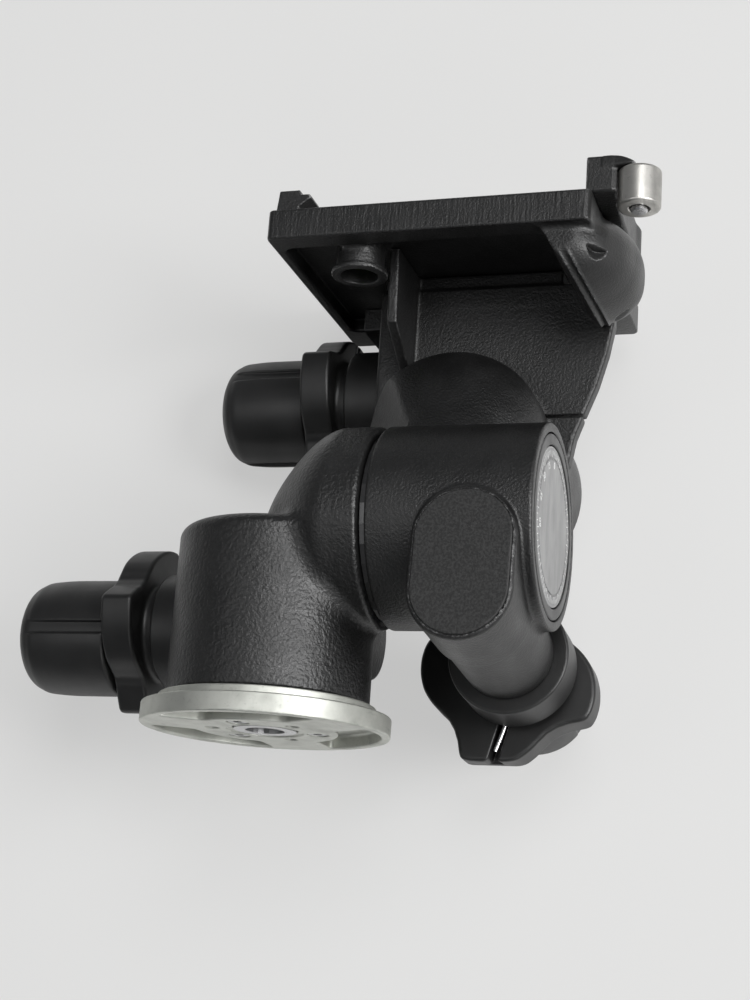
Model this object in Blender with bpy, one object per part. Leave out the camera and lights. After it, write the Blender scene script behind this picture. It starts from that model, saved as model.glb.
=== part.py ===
"""A three-axis geared head for a tripod: a pan housing on a round base, a tilt drum
beside it, a side arm with a camera platform, and one worm drive for each axis.

Sizes are in millimetres and angles in degrees. Points are written in metres.
The origin is the centre of the base's lower face, on the pan axis. +Z is up,
+X runs along the tilt axis and +Y runs along the side axis.
"""

import math

import bmesh
import bpy
from mathutils import Matrix, Vector

mm = 0.001

# Clearances
seatGap = 0.3
runGap = 0.3

# Base and pan housing
baseRadius = 30.0
baseEdge = 4.7
baseTopRadius = 26.2
baseHeight = 6.9
baseRecess = 3.4
baseRimWidth = 2.2
baseHubRadius = 17.5
baseLandWidth = 30.0
studBushRadius = 7.6
studThreadRadius = 4.76
baseScrewCircle = 12.6
baseScrewCount = 3
panRadius = 24.5
panTop = 48.0
panPostRadius = 8.0

# Joint faces and drums
tiltHeight = 49.8
tiltFace = 26.9
sideCentreX = 36.0
sideHeight = 77.5
drumRadius = 24.6
sideStand = 4.0
sideFace = drumRadius + sideStand
jointGap = 1.8
drumLength = 39.2
spindleRadius = 7.0
spindleRoot = 14.5
bearingWall = 3.0
nutThickness = 3.2
frictionThickness = 1.5
capWall = 2.6
capRadius = drumRadius - capWall
capThickness = 3.4
dialRim = 3.0
dialRadius = capRadius - dialRim
dialThickness = 1.0

# Worm drives
teeth = 48
tubeDistance = 23.5
eccentric = 2.2
collarTurn = 50.0
wormPitchRadius = 5.0
toothAddendum = 0.62
toothDedendum = 1.4
wheelTip = 0.45
threadCrest = 0.3
threadTaper = 0.35
wheelWidth = 7.0
wormLength = 10.5
tubeBore = 9.6
tubeWall = 2.2
tubeRadius = tubeBore + tubeWall
tubeBlind = 15.0
tubeEnd = drumRadius
wormShaftRadius = 3.5
cupFlange = 5.5
cupRadius = tubeBore + cupFlange
cupLength = 12.1
cupWall = 2.0
collarNeck = 3.3
collarStart = tubeEnd + seatGap + cupLength + collarNeck
collarThickness = 8.5
collarEdge = 0.9
collarBossWall = 2.8
# Each lobe rises slowly to a corner and falls away steeply behind it. The angle
# is counted from one corner to the next, and the slit lies before a corner.
# The second value is how far the edge lies beyond the tube's bore.
lobeProfile = (
    (0, 13.2),
    (8, 10.8),
    (16, 8.8),
    (25, 8.1),
    (34, 8.6),
    (45, 9.7),
    (62, 10.9),
    (80, 12.3),
)
slitBeforeCorner = 12.5
# A collar's turn about its axis, and how far its outline lies off that axis
collarPlaces = {
    "pan": (-1.0, (-2.0, 0.6)),
    "tilt": (14.0, (-2.2, -2.8)),
    "side": (14.0, (-0.3, -2.2)),
}
slitWidth = 2.6
slitDepth = 5.2
springRoom = 1.9
springRadius = tubeBore + springRoom
springWire = 1.0
springTurns = 3
springLegRoom = 11.4
knobRadius = 15.2
knobGap = 0.4
knobLength = 26.1
knobStart = collarStart + collarThickness + knobGap
knobEnd = knobStart + knobLength
knobGroove = 0.9
panTubeHeight = 28.9
tiltTubeX = 53.0
tiltPitch = 6.0
sideTubeReach = 26.4
sideTubeY = sideFace + sideTubeReach
padPlane = 25.5
padMargin = 0.5
padRadius = tubeRadius + padMargin
padRise = 11.7
padInset = 1.6
padInsertDepth = 0.8

# Arm, platform and plate clamp
platformLow = 125.0
platformHigh = 133.3
platformLeft = -8.7
platformRight = 75.0
platformFront = -7.0
platformBack = 70.0
recessCeiling = 129.0
recessLeft = -6.0
recessRight = 65.0
recessBack = 58.0
armRight = 75.0
armPlate = 4.8
# The arm's right edge from its drum up, in x and z
armEdge = (
    (60.0, 70.0),
    (64.5, 75.0),
    (65.8, 82.0),
    (68.2, 88.6),
    (71.1, 96.0),
    (73.6, 105.0),
)
armShoulderHeight = 112.6
# The right edge of the deeper block that holds the worm's tube
blockEdge = (
    (50.0, 77.5),
    (54.0, 88.0),
    (56.5, 95.0),
    (61.5, 110.0),
)
tabLeft = 3.5
tabLow = 117.6
tabFront = 40.0
tabBack = 66.0
cornerRadius = 1.8
platformEdge = 0.8
# The lock housing's left face leans: it runs through these points in x and z
lockFaceTop = (62.3, 125.0)
lockFaceFoot = (81.9, 90.0)
ribRadius = 0.8
ribFoot = 112.0
# The lock housing swells along y: each station has a share of its full width
lockStations = (
    (-4.5, 0.30),
    (-1.5, 0.50),
    (4.0, 0.72),
    (13.0, 0.92),
    (24.0, 1.0),
    (36.0, 0.95),
)
lockCentreX = 66.5
lockCentreZ = 122.0
lockHalfWide = 18.0
lockHalfHigh = 12.8
lockSquareness = 0.8
gussetLeft = 19.0
gussetWidth = 2.7
gussetSink = 4.1
gussetRise = 6.6
gussetTip = 10.8
gussetKnee = 12.5
levelX = 13.0
levelY = 6.0
levelBossRadius = 6.2
levelLipRadius = 7.3
levelHoleRadius = 4.85
levelBottom = 119.0
screwColumns = (18.0, 57.0)
screwRows = (8.4, 22.4)
platformScrewRadius = 3.0
platformScrewHead = 5.2
jawHeight = 6.3
jawStep = 5.0
jawWidth = 9.0
lugRight = 67.3
lugLeft = 64.5
lugLip = 61.3
lugFront = 14.0
lugBack = 56.0
lugHeight = 4.2
leverPivotX = 73.8
leverPivotY = 40.0
leverLow = platformHigh + 0.4
leverThickness = 10.5
leverHubRadius = 6.0
pinRadius = 2.5
pinHead = 4.2
# The lever's outline on the way to its tip and back, in x and y
leverInside = ((69.6, 20.0), (72.4, 4.0), (73.0, -3.4))
leverOutside = ((79.4, -3.4), (81.5, -2.0), (81.5, 2.4), (79.8, 4.6), (79.4, 20.0))
leverBack = 4.0
fingerRoot = 77.0
fingerReach = 4.4
fingerHalf = 4.6
barrelX = 85.7
barrelY = 0.0
barrelRadius = 5.35
barrelLow = 130.0
barrelHigh = 140.0
buttonRadius = 2.15
lockSpringRadius = 2.3
lockSpringWire = 0.6
lockSpringTurns = 4

roundSides = 36
midSides = 22
smallSides = 14

rad = math.radians


# Colours, roughness and metallic values of the materials
finishes = {
    "black_paint": ((0.018, 0.018, 0.019), 0.62, 0.0),
    "black_plastic": ((0.03, 0.03, 0.032), 0.5, 0.0),
    "dark_insert": ((0.012, 0.012, 0.012), 0.75, 0.0),
    "grey_dial": ((0.16, 0.165, 0.17), 0.5, 0.3),
    "aluminium": ((0.72, 0.71, 0.69), 0.38, 1.0),
    "steel": ((0.62, 0.62, 0.63), 0.28, 1.0),
    "bronze": ((0.55, 0.38, 0.18), 0.4, 1.0),
    "level_liquid": ((0.55, 0.75, 0.25), 0.1, 0.0),
}


def clear_scene():
    for thing in list(bpy.data.objects):
        bpy.data.objects.remove(thing, do_unlink=True)


def material(finish):
    made = bpy.data.materials.get(finish)
    if made:
        return made
    colour, roughness, metallic = finishes[finish]
    made = bpy.data.materials.new(finish)
    made.use_nodes = True
    shader = made.node_tree.nodes["Principled BSDF"]
    shader.inputs["Base Color"].default_value = (*colour, 1.0)
    shader.inputs["Roughness"].default_value = roughness
    shader.inputs["Metallic"].default_value = metallic
    return made


# Placing: a frame is a 4x4 matrix in millimetres
def frame_at(origin, x_axis, y_axis):
    x_axis = Vector(x_axis).normalized()
    y_axis = Vector(y_axis).normalized()
    turned = Matrix((x_axis, y_axis, x_axis.cross(y_axis))).transposed().to_4x4()
    return Matrix.Translation(Vector(origin)) @ turned


world = Matrix.Identity(4)
alongX = frame_at((0, 0, tiltHeight), (0, 1, 0), (0, 0, 1))
alongY = frame_at((sideCentreX, 0, sideHeight), (0, 0, 1), (1, 0, 0))
pitchSin = math.sin(rad(tiltPitch))
pitchCos = math.cos(rad(tiltPitch))

# A drive's frame has the wheel's axis as z, and the tube beside it, along x.
# The tube lies at y = -tubeDistance and the knob is on the -x side.
driveFrames = {
    "pan": frame_at((0, 0, panTubeHeight), (1, 0, 0), (0, -1, 0)),
    "tilt": frame_at(
        (tiltTubeX, 0, tiltHeight), (0, -pitchCos, pitchSin), (0, pitchSin, pitchCos)
    ),
    "side": frame_at((sideCentreX, sideTubeY, sideHeight), (1, 0, 0), (0, 0, -1)),
}

# The bush turns about the tube, so half of its turn lies on each side of square.
offsetAngle = 90.0 - collarTurn / 2
wormY = -tubeDistance + eccentric * math.cos(rad(offsetAngle))
wormZ = eccentric * math.sin(rad(offsetAngle))
wheelPitchRadius = -wormY - wormPitchRadius
lead = 2 * math.pi * wheelPitchRadius / teeth
wheelOuter = wheelPitchRadius + toothAddendum
wormCore = wormPitchRadius - toothAddendum - 0.3
cavityRadius = wheelOuter + 1.0
bushOuter = tubeBore - seatGap
cupStart = tubeEnd + seatGap
cupEnd = cupStart + cupLength


def tube_frame(drive):
    """The drive's tube axis as local z, pointing from the wheel to the knob."""
    about = frame_at((0, -tubeDistance, 0), (0, 1, 0), (0, 0, -1))
    return driveFrames[drive] @ about


def worm_frame(drive):
    """The worm's own axis as local z, pointing to the knob."""
    about = frame_at((0, wormY, wormZ), (0, 1, 0), (0, 0, -1))
    return driveFrames[drive] @ about


# Each moving group hangs from an empty on its joint's axis.
def tip(frame, point=(0, 0, 0)):
    return frame @ Vector(point)


groupOrigins = {
    "base": Vector((0, 0, 0)),
    "pan": Vector((0, 0, panTubeHeight)),
    "tilt": Vector((tiltFace, 0, tiltHeight)),
    "side": Vector((sideCentreX, sideFace, sideHeight)),
    "lever": Vector((leverPivotX, leverPivotY, leverLow)),
    "button": Vector((barrelX, barrelY, barrelLow)),
}
for driveName in driveFrames:
    groupOrigins[driveName + "_collar"] = tip(tube_frame(driveName), (0, 0, collarStart))
    groupOrigins[driveName + "_knob"] = tip(worm_frame(driveName), (0, 0, knobStart))
groupParents = {
    "base": None,
    "pan": "base",
    "tilt": "pan",
    "side": "tilt",
    "lever": "side",
    "button": "lever",
    "pan_collar": "pan",
    "pan_knob": "pan_collar",
    "tilt_collar": "tilt",
    "tilt_knob": "tilt_collar",
    "side_collar": "side",
    "side_knob": "side_collar",
}
groups = {}


def add_groups():
    for name, parent in groupParents.items():
        empty = bpy.data.objects.new(name + "_axis", None)
        empty.empty_display_size = 5 * mm
        bpy.context.scene.collection.objects.link(empty)
        origin = groupOrigins[name].copy()
        if parent:
            empty.parent = groups[parent]
            origin -= groupOrigins[parent]
        empty.location = origin * mm
        groups[name] = empty


# Shapes, each a bmesh in millimetres
def closed(shape):
    bmesh.ops.recalc_face_normals(shape, faces=shape.faces)
    return shape


def ring_loft(rings, cap=True):
    """A skin over rings of equal count, with flat ends or closed on itself."""
    shape = bmesh.new()
    loops = [[shape.verts.new(point) for point in ring] for ring in rings]
    pairs = list(zip(loops, loops[1:]))
    if cap:
        shape.faces.new(loops[0])
        shape.faces.new(loops[-1])
    else:
        pairs.append((loops[-1], loops[0]))
    for one, two in pairs:
        for i in range(len(one)):
            j = (i + 1) % len(one)
            shape.faces.new((one[i], two[i], two[j], one[j]))
    return closed(shape)


def turned(profile, sides=roundSides):
    """Turns (radius, height) points about z. A profile that starts and ends on the
    axis has flat ends there, and one off the axis closes on itself, with a bore."""
    solid = profile[0][0] == 0
    if solid:
        profile = profile[1:-1]
    steps = [2 * math.pi * i / sides for i in range(sides)]
    rings = []
    for radius, height in profile:
        rings.append(
            [(radius * math.cos(a), radius * math.sin(a), height) for a in steps]
        )
    return ring_loft(rings, cap=solid)


def rod(radius, low, high, sides=smallSides, chamfer=0.0):
    if not chamfer:
        return turned([(0, low), (radius, low), (radius, high), (0, high)], sides)
    inner = radius - chamfer
    return turned(
        [
            (0, low),
            (inner, low),
            (radius, low + chamfer),
            (radius, high - chamfer),
            (inner, high),
            (0, high),
        ],
        sides,
    )


def washer(outer, bore, low, high, sides=midSides, chamfer=0.0):
    inner = outer - chamfer
    profile = [(bore, low), (inner, low)]
    if chamfer:
        profile.append((outer, low + chamfer))
        profile.append((outer, high - chamfer))
    profile += [(inner, high), (bore, high)]
    return turned(profile, sides)


def prism(outline, low, high, chamfer=0.0):
    """Extrudes an (x, y) outline along z, with an optional edge chamfer."""
    if not chamfer:
        rings = [[(x, y, z) for x, y in outline] for z in (low, high)]
        return ring_loft(rings)
    inner = inset(outline, chamfer)
    heights = ((inner, low), (outline, low + chamfer))
    heights += ((outline, high - chamfer), (inner, high))
    return ring_loft([[(x, y, z) for x, y in points] for points, z in heights])


def inset(outline, distance):
    """Moves each corner of a counter-clockwise outline inwards by the distance."""
    moved = []
    count = len(outline)
    for i, point in enumerate(outline):
        here = Vector(point)
        before = (here - Vector(outline[i - 1])).normalized()
        after = (Vector(outline[(i + 1) % count]) - here).normalized()
        normal = Vector((-before.y - after.y, before.x + after.x))
        scale = 2 * distance / max(normal.length_squared, 0.6)
        moved.append(tuple(here + normal * scale))
    return moved


def boxed(low, high):
    outline = [(low[0], low[1]), (high[0], low[1]), (high[0], high[1]), (low[0], high[1])]
    return prism(outline, low[2], high[2])


def arc(centre, radius, start, end, steps):
    angles = [rad(start + (end - start) * i / steps) for i in range(steps + 1)]
    cx, cy = centre
    return [(cx + radius * math.cos(a), cy + radius * math.sin(a)) for a in angles]


def rounded_box(low, high, radius, axis_low, axis_high, chamfer=0.0, steps=4):
    """A box between (x, y) corners with rounded upright edges."""
    corners = (
        ((high[0] - radius, high[1] - radius), 0),
        ((low[0] + radius, high[1] - radius), 90),
        ((low[0] + radius, low[1] + radius), 180),
        ((high[0] - radius, low[1] + radius), 270),
    )
    outline = []
    for centre, start in corners:
        outline += arc(centre, radius, start, start + 90, steps)
    return prism(outline, axis_low, axis_high, chamfer)


def swept(points, radius, sides):
    """A closed round tube along the points."""
    points = [Vector(point) for point in points]
    rings = []
    side = None
    for i, point in enumerate(points):
        ahead = points[min(i + 1, len(points) - 1)] - points[max(i - 1, 0)]
        ahead.normalize()
        if side is None:
            side = ahead.orthogonal()
        side = (side - ahead * side.dot(ahead)).normalized()
        up = ahead.cross(side)
        ring = []
        for k in range(sides):
            a = 2 * math.pi * k / sides
            ring.append(point + (side * math.cos(a) + up * math.sin(a)) * radius)
        rings.append(ring)
    return ring_loft(rings)


# Objects
def add(name, shape, frame=world, group=None, finish=None, smooth=35.0):
    mesh = bpy.data.meshes.new(name)
    bmesh.ops.scale(shape, vec=(mm, mm, mm), verts=shape.verts)
    shape.to_mesh(mesh)
    shape.free()
    thing = bpy.data.objects.new(name, mesh)
    bpy.context.scene.collection.objects.link(thing)
    placed = frame.copy()
    placed.translation = (frame.translation - groupOrigins[group]) * mm
    thing.parent = groups[group]
    thing.matrix_basis = placed
    if finish:
        mesh.materials.append(material(finish))
        mesh.shade_smooth()
        mesh.set_sharp_from_angle(angle=rad(smooth))
    return thing


# The tilt housing's tube meets its pad too smoothly for the exact solver.
solvers = {"tilt_housing": "MANIFOLD", "tilt_shoulder": "MANIFOLD"}


def shaped_by(thing, operation, shape, frame=world):
    """Adds a Boolean to the object, with a hidden helper as its other half."""
    group = thing.parent.name.removesuffix("_axis")
    step = len(thing.modifiers) + 1
    helper = add(f"{thing.name}_{operation.lower()}_{step}", shape, frame, group)
    helper.hide_render = True
    helper.display_type = "WIRE"
    modifier = thing.modifiers.new(f"{operation} {step}", "BOOLEAN")
    modifier.operation = operation
    modifier.solver = solvers.get(thing.name, "EXACT")
    modifier.object = helper


def cut(thing, shape, frame=world):
    shaped_by(thing, "DIFFERENCE", shape, frame)


def fuse(thing, shape, frame=world):
    shaped_by(thing, "UNION", shape, frame)


# Base
postShoulder = panTubeHeight - wormZ - wheelWidth / 2 - seatGap
postTop = panTop - 6.7
studDepth = baseHeight + 9.0


def make_base():
    plate = add(
        "base_plate",
        turned(
            [
                (0, 0),
                (baseRadius - 0.4, 0),
                (baseRadius, 0.4),
                (baseRadius, baseEdge),
                (baseTopRadius + 0.8, baseEdge + 0.4),
                (baseTopRadius, baseHeight),
                (panPostRadius + 3.2, baseHeight),
                (panPostRadius + 3.2, postShoulder),
                (panPostRadius, postShoulder),
                (panPostRadius, postTop),
                (0, postTop),
            ]
        ),
        world,
        "base",
        "aluminium",
    )
    rimInside = baseRadius - baseRimWidth
    low = -1.0
    for k in range(3):
        turn = Matrix.Rotation(rad(120 * k + 30), 4, "Z")
        half = 60 - math.degrees(math.asin(baseLandWidth / 4 / rimInside))
        outer = arc((0, 0), rimInside, -half, half, 9)
        inner = arc((0, 0), baseHubRadius, half - 4, 4 - half, 6)
        cut(plate, prism(outer + inner, low, baseRecess), turn)
    cut(plate, rod(studBushRadius + seatGap, low, studDepth, midSides))
    for turn in around_base(0):
        cut(plate, rod(1.5 + seatGap, low, 5.0, 12), turn)
        cut(plate, rod(2.4 + seatGap, low, 1.8, 16), turn)
    # Plain holes for the tripod's locking screws lie between the screws.
    for turn in around_base(180 / baseScrewCount):
        cut(plate, rod(1.7, low, 4.0, 12), turn)
    add(
        "stud_bush",
        washer(studBushRadius, studThreadRadius, 0.2, studDepth - seatGap, midSides),
        world,
        "base",
        "steel",
    )
    for k, turn in enumerate(around_base(0)):
        screw = add(
            f"base_screw_{k + 1}",
            turned(
                [(0, 0.3), (2.4, 0.3), (2.4, 1.5), (1.5, 1.5), (1.5, 4.7), (0, 4.7)], 12
            ),
            turn,
            "base",
            "steel",
        )
        cut(screw, rod(1.2, -0.5, 1.1, 6), turn)


def around_base(start):
    for k in range(baseScrewCount):
        a = rad(360 * k / baseScrewCount + 20 + start)
        at = (baseScrewCircle * math.cos(a), baseScrewCircle * math.sin(a), 0)
        yield Matrix.Translation(Vector(at))


# Worm drive pieces
def wheel_outline():
    """Teeth with V-shaped gaps, the first gap at the worm's side."""
    points = []
    half = wheelTip / 2 / wheelOuter
    for k in range(teeth):
        gap = rad(-90 + 360 * k / teeth)
        tooth = rad(-90 + 360 * (k + 0.5) / teeth)
        for radius, a in (
            (wheelPitchRadius - toothDedendum, gap),
            (wheelOuter, tooth - half),
            (wheelOuter, tooth + half),
        ):
            points.append((radius * math.cos(a), radius * math.sin(a)))
    return points


def make_wheel(drive, group, bore):
    low = wormZ - wheelWidth / 2
    high = wormZ + wheelWidth / 2
    climb = lead / (2 * math.pi * wormPitchRadius)
    outline = wheel_outline()
    rings = []
    for z in (low, high):
        twist = climb * (z - wormZ) / wheelPitchRadius
        c, s = math.cos(twist), math.sin(twist)
        rings.append([(x * c - y * s, x * s + y * c, z) for x, y in outline])
    frame = driveFrames[drive]
    wheel = add(f"{drive}_worm_wheel", ring_loft(rings), frame, group, "bronze", 25.0)
    cut(wheel, rod(bore, low - 1, high + 1, midSides), frame)


def worm_thread():
    """A trapezoid thread about z. The drive's y axis is where a turn is counted from."""
    root = wormCore - 0.5
    crest = wormPitchRadius + toothAddendum
    half = threadCrest / 2
    deep = half + threadTaper * (crest - root)
    turns = (wormLength - 2 * deep) / lead
    steps = int(turns * 8)
    rings = []
    for i in range(steps + 1):
        a = 2 * math.pi * turns * (i / steps - 0.5)
        # Towards the knob is the drive's -x, so the thread runs the other way here.
        along = -lead * a / (2 * math.pi)
        x, y = math.cos(a), -math.sin(a)
        rings.append(
            [
                (root * x, root * y, along - deep),
                (crest * x, crest * y, along - half),
                (crest * x, crest * y, along + half),
                (root * x, root * y, along + deep),
            ]
        )
    return ring_loft(rings)


def make_drive(drive, group):
    tube = tube_frame(drive)
    worm = worm_frame(drive)
    blind = -tubeBlind + seatGap

    add(
        f"{drive}_spring_cup",
        turned(
            [
                (tubeBore, cupStart),
                (cupRadius - 1.2, cupStart),
                (cupRadius, cupStart + 1.2),
                (cupRadius, cupEnd),
                (cupRadius - cupWall, cupEnd),
                (cupRadius - cupWall, cupStart + cupWall),
                (tubeBore, cupStart + cupWall),
            ],
            22,
        ),
        tube,
        group,
        "black_plastic",
    )

    collarGroup = drive + "_collar"
    bushEnd = collarStart + collarThickness - 0.8
    bush = add(
        f"{drive}_eccentric_bush",
        rod(bushOuter, blind, bushEnd, midSides),
        tube,
        collarGroup,
        "steel",
    )
    shaftBore = wormShaftRadius + runGap
    wormRoom = wormPitchRadius + toothAddendum + 0.5
    roomHalf = wormLength / 2 + 1.0
    cut(bush, rod(shaftBore, blind - 1, bushEnd + 1), worm)
    cut(bush, rod(wormRoom, -roomHalf, roomHalf, midSides), worm)
    # The wheel reaches in through a window that stays open over the collar's turn.
    reach = wheelOuter + 0.5
    nearest = tubeDistance - bushOuter
    windowHalf = math.sqrt(reach**2 - nearest**2) + 0.3
    inner = tubeDistance - wheelOuter - 0.3
    above = math.degrees(math.atan2(wormZ + wheelWidth / 2 + 0.4, inner))
    below = math.degrees(math.atan2(wheelWidth / 2 - wormZ + 0.4, inner))
    window = [(0.0, 0.0)]
    window += arc((0, 0), bushOuter + 3, -above - 3, below + collarTurn + 3, 16)
    cut(bush, prism(window, -windowHalf, windowHalf), tube)

    turn = Matrix.Rotation(rad(collarPlaces[drive][0]), 4, "Z")
    make_collar(drive, tube @ turn, collarGroup)
    make_spring(drive, tube @ turn, collarGroup)

    knobGroup = drive + "_knob"
    shaftEnd = knobEnd - 9.0
    coreHalf = wormLength / 2
    shaft = add(
        f"{drive}_worm_shaft",
        turned(
            [
                (0, blind + 0.6),
                (wormShaftRadius, blind + 0.6),
                (wormShaftRadius, -coreHalf),
                (wormCore, -coreHalf),
                (wormCore, coreHalf),
                (wormShaftRadius, coreHalf),
                (wormShaftRadius, shaftEnd),
                (0, shaftEnd),
            ],
            smallSides,
        ),
        worm,
        knobGroup,
        "steel",
    )
    fuse(shaft, worm_thread(), worm)
    make_knob(drive, worm, knobGroup, shaftEnd)


def polar_ring(angles, radius_of, height):
    points = []
    for angle in angles:
        r = radius_of(angle)
        points.append((r * math.cos(rad(angle)), r * math.sin(rad(angle)), height))
    return points


def make_collar(drive, tube, group):
    """The slit lies at -x of the frame, and the outline is off the axis by the shift."""
    shiftX, shiftY = collarPlaces[drive][1]
    corner = 180 + slitBeforeCorner
    boss = tubeBore + collarBossWall
    stations = []
    for k in range(4):
        stations += [(corner + 90 * k + a, tubeBore + r) for a, r in lobeProfile]
    angles = [angle for angle, radius in stations]
    end = collarStart + collarThickness

    def outline(inset_by, height):
        points = []
        for angle, radius in stations:
            r = radius - inset_by
            x = shiftX + r * math.cos(rad(angle))
            y = shiftY + r * math.sin(rad(angle))
            points.append((x, y, height))
        return points

    rings = [
        polar_ring(angles, lambda a: tubeBore, cupEnd + seatGap),
        polar_ring(angles, lambda a: boss, cupEnd + seatGap),
        polar_ring(angles, lambda a: boss, collarStart),
        outline(collarEdge, collarStart),
        outline(0, collarStart + collarEdge),
        outline(0, end - collarEdge),
        outline(collarEdge, end),
        polar_ring(angles, lambda a: tubeBore, end),
    ]
    collar = add(
        f"{drive}_collar", ring_loft(rings, cap=False), tube, group, "black_plastic", 32.0
    )
    low = (-2 * cupRadius, -slitWidth / 2, cupEnd - 1)
    high = (-springRadius + 1.2, slitWidth / 2, collarStart + slitDepth)
    cut(collar, boxed(low, high), tube)


def make_spring(drive, tube, group):
    """A torsion spring in the cup, with one leg bent out along the collar's slit."""
    start = cupStart + cupWall + 1.2
    climb = (cupEnd - 1.6 - start) / springTurns
    steps = 10
    points = []
    for i in range(springTurns * steps + 1):
        a = math.pi + 2 * math.pi * i / steps
        z = start + climb * i / steps
        points.append((springRadius * math.cos(a), springRadius * math.sin(a), z))
    points.append((-springRadius, 0.3, collarStart - 0.6))
    points.append((-springRadius - 0.8, 0.3, collarStart + 0.4))
    points.append((-springRadius - 4.5, 0.3, collarStart + 0.7))
    points.append((-tubeBore - springLegRoom, -0.2, collarStart + 0.9))
    name = f"{drive}_return_spring"
    print_gap(name, points, springWire)
    add(name, swept(points, springWire / 2, 4), tube, group, "steel")


def print_gap(name, points, wire):
    """Prints the least gap between parts of a wire that aren't next to each other."""
    points = [Vector(point) for point in points]
    along = [0.0]
    for one, two in zip(points, points[1:]):
        along.append(along[-1] + (two - one).length)
    gaps = []
    for i, one in enumerate(points):
        for k in range(i + 1, len(points)):
            if along[k] - along[i] > 6 * wire:
                gaps.append((points[k] - one).length - wire)
    print(f"{name}: least gap to itself {min(gaps):.2f} mm")


def make_knob(drive, worm, group, shaft_end):
    grooves = 3
    sector = 360 / grooves
    inSector = [5.5, 8] + [8 + 104 * k / 7 for k in range(1, 8)] + [sector - 5.5]
    angles = [sector * k + a for k in range(grooves) for a in inSector]

    def grooved(radius):
        def at(angle):
            away = abs((angle + sector / 2) % sector - sector / 2)
            depth = knobGroove if away < 6 and radius > knobRadius - 2.5 else 0
            return radius - depth

        return at

    profile = (
        (knobRadius - 0.9, knobStart),
        (knobRadius, knobStart + 0.9),
        (knobRadius, knobEnd - 8.0),
        (knobRadius - 0.9, knobEnd - 4.0),
        (knobRadius - 2.7, knobEnd - 1.3),
        (knobRadius - 4.8, knobEnd),
    )
    rings = [polar_ring(angles, grooved(radius), z) for radius, z in profile]
    knob = add(f"{drive}_knob", ring_loft(rings), worm, group, "black_plastic", 30.0)
    bore = wormShaftRadius + seatGap
    cut(knob, rod(bore, knobStart - 1, shaft_end + seatGap), worm)


# Cuts that every housing with a drive needs
def bore_tube(housing, drive):
    cut(housing, rod(tubeBore, -tubeBlind, tubeEnd + 3, midSides), tube_frame(drive))


# Pan housing, with the elbow that carries the tilt axis. Each ring of an elbow is
# smaller than the drum by a drop, and has a depth behind the joint face. The last
# ones sink into the drum below.
elbowDrops = (0.6, 0, 0, 2.0, 4.9, 8.5, 13.0, 18.6)
elbowRadii = [drumRadius - drop for drop in elbowDrops]
elbowDepths = (0.0, 0.6, 10.3, 14.2, 17.9, 21.5, 26.2, 31.1)
panElbowSinks = (0, 0, 0, 0, 0, 0, 2.0, 7.0)
sideElbowSinks = (0, 0, 0, 1.5, 4.0, 7.5, 11.5, 15.0)


def elbow(face, sinks, down):
    rings = []
    for radius, depth, sink in zip(elbowRadii, elbowDepths, sinks):
        steps = [2 * math.pi * i / roundSides for i in range(roundSides)]
        x, y = down[0] * sink, down[1] * sink
        rings.append(
            [
                (x + radius * math.cos(a), y + radius * math.sin(a), face - depth)
                for a in steps
            ]
        )
    return ring_loft(rings)


def make_pan_housing():
    low = baseHeight + seatGap
    housing = add(
        "pan_housing",
        turned(
            [
                (0, low),
                (panRadius, low),
                (panRadius, panTop - 3.5),
                (panRadius - 1.0, panTop - 1.2),
                (panRadius - 3.5, panTop),
                (0, panTop),
            ]
        ),
        world,
        "pan",
        "black_paint",
    )
    fuse(housing, elbow(tiltFace, panElbowSinks, (0, -1)), alongX)
    tube = turned(
        [
            (0, -tubeBlind - 3.0),
            (tubeRadius - 2.5, -tubeBlind - 3.0),
            (tubeRadius, -tubeBlind - 0.5),
            (tubeRadius, tubeEnd),
            (0, tubeEnd),
        ],
        midSides,
    )
    fuse(housing, tube, tube_frame("pan"))
    web = postShoulder + wheelWidth + 2 * seatGap + 1.5
    cut(housing, rod(cavityRadius, low - 3, web, roundSides))
    cut(housing, rod(panPostRadius + bearingWall, low, postTop + 0.6, midSides))
    cut(housing, rod(spindleRadius + seatGap, tiltFace - spindleRoot, tiltFace + 3), alongX)
    bore_tube(housing, "pan")
    add(
        "pan_bearing_bush",
        washer(
            panPostRadius + bearingWall - seatGap,
            panPostRadius + runGap,
            web - 1.0,
            postTop + 0.3,
        ),
        world,
        "pan",
        "bronze",
    )


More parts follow.
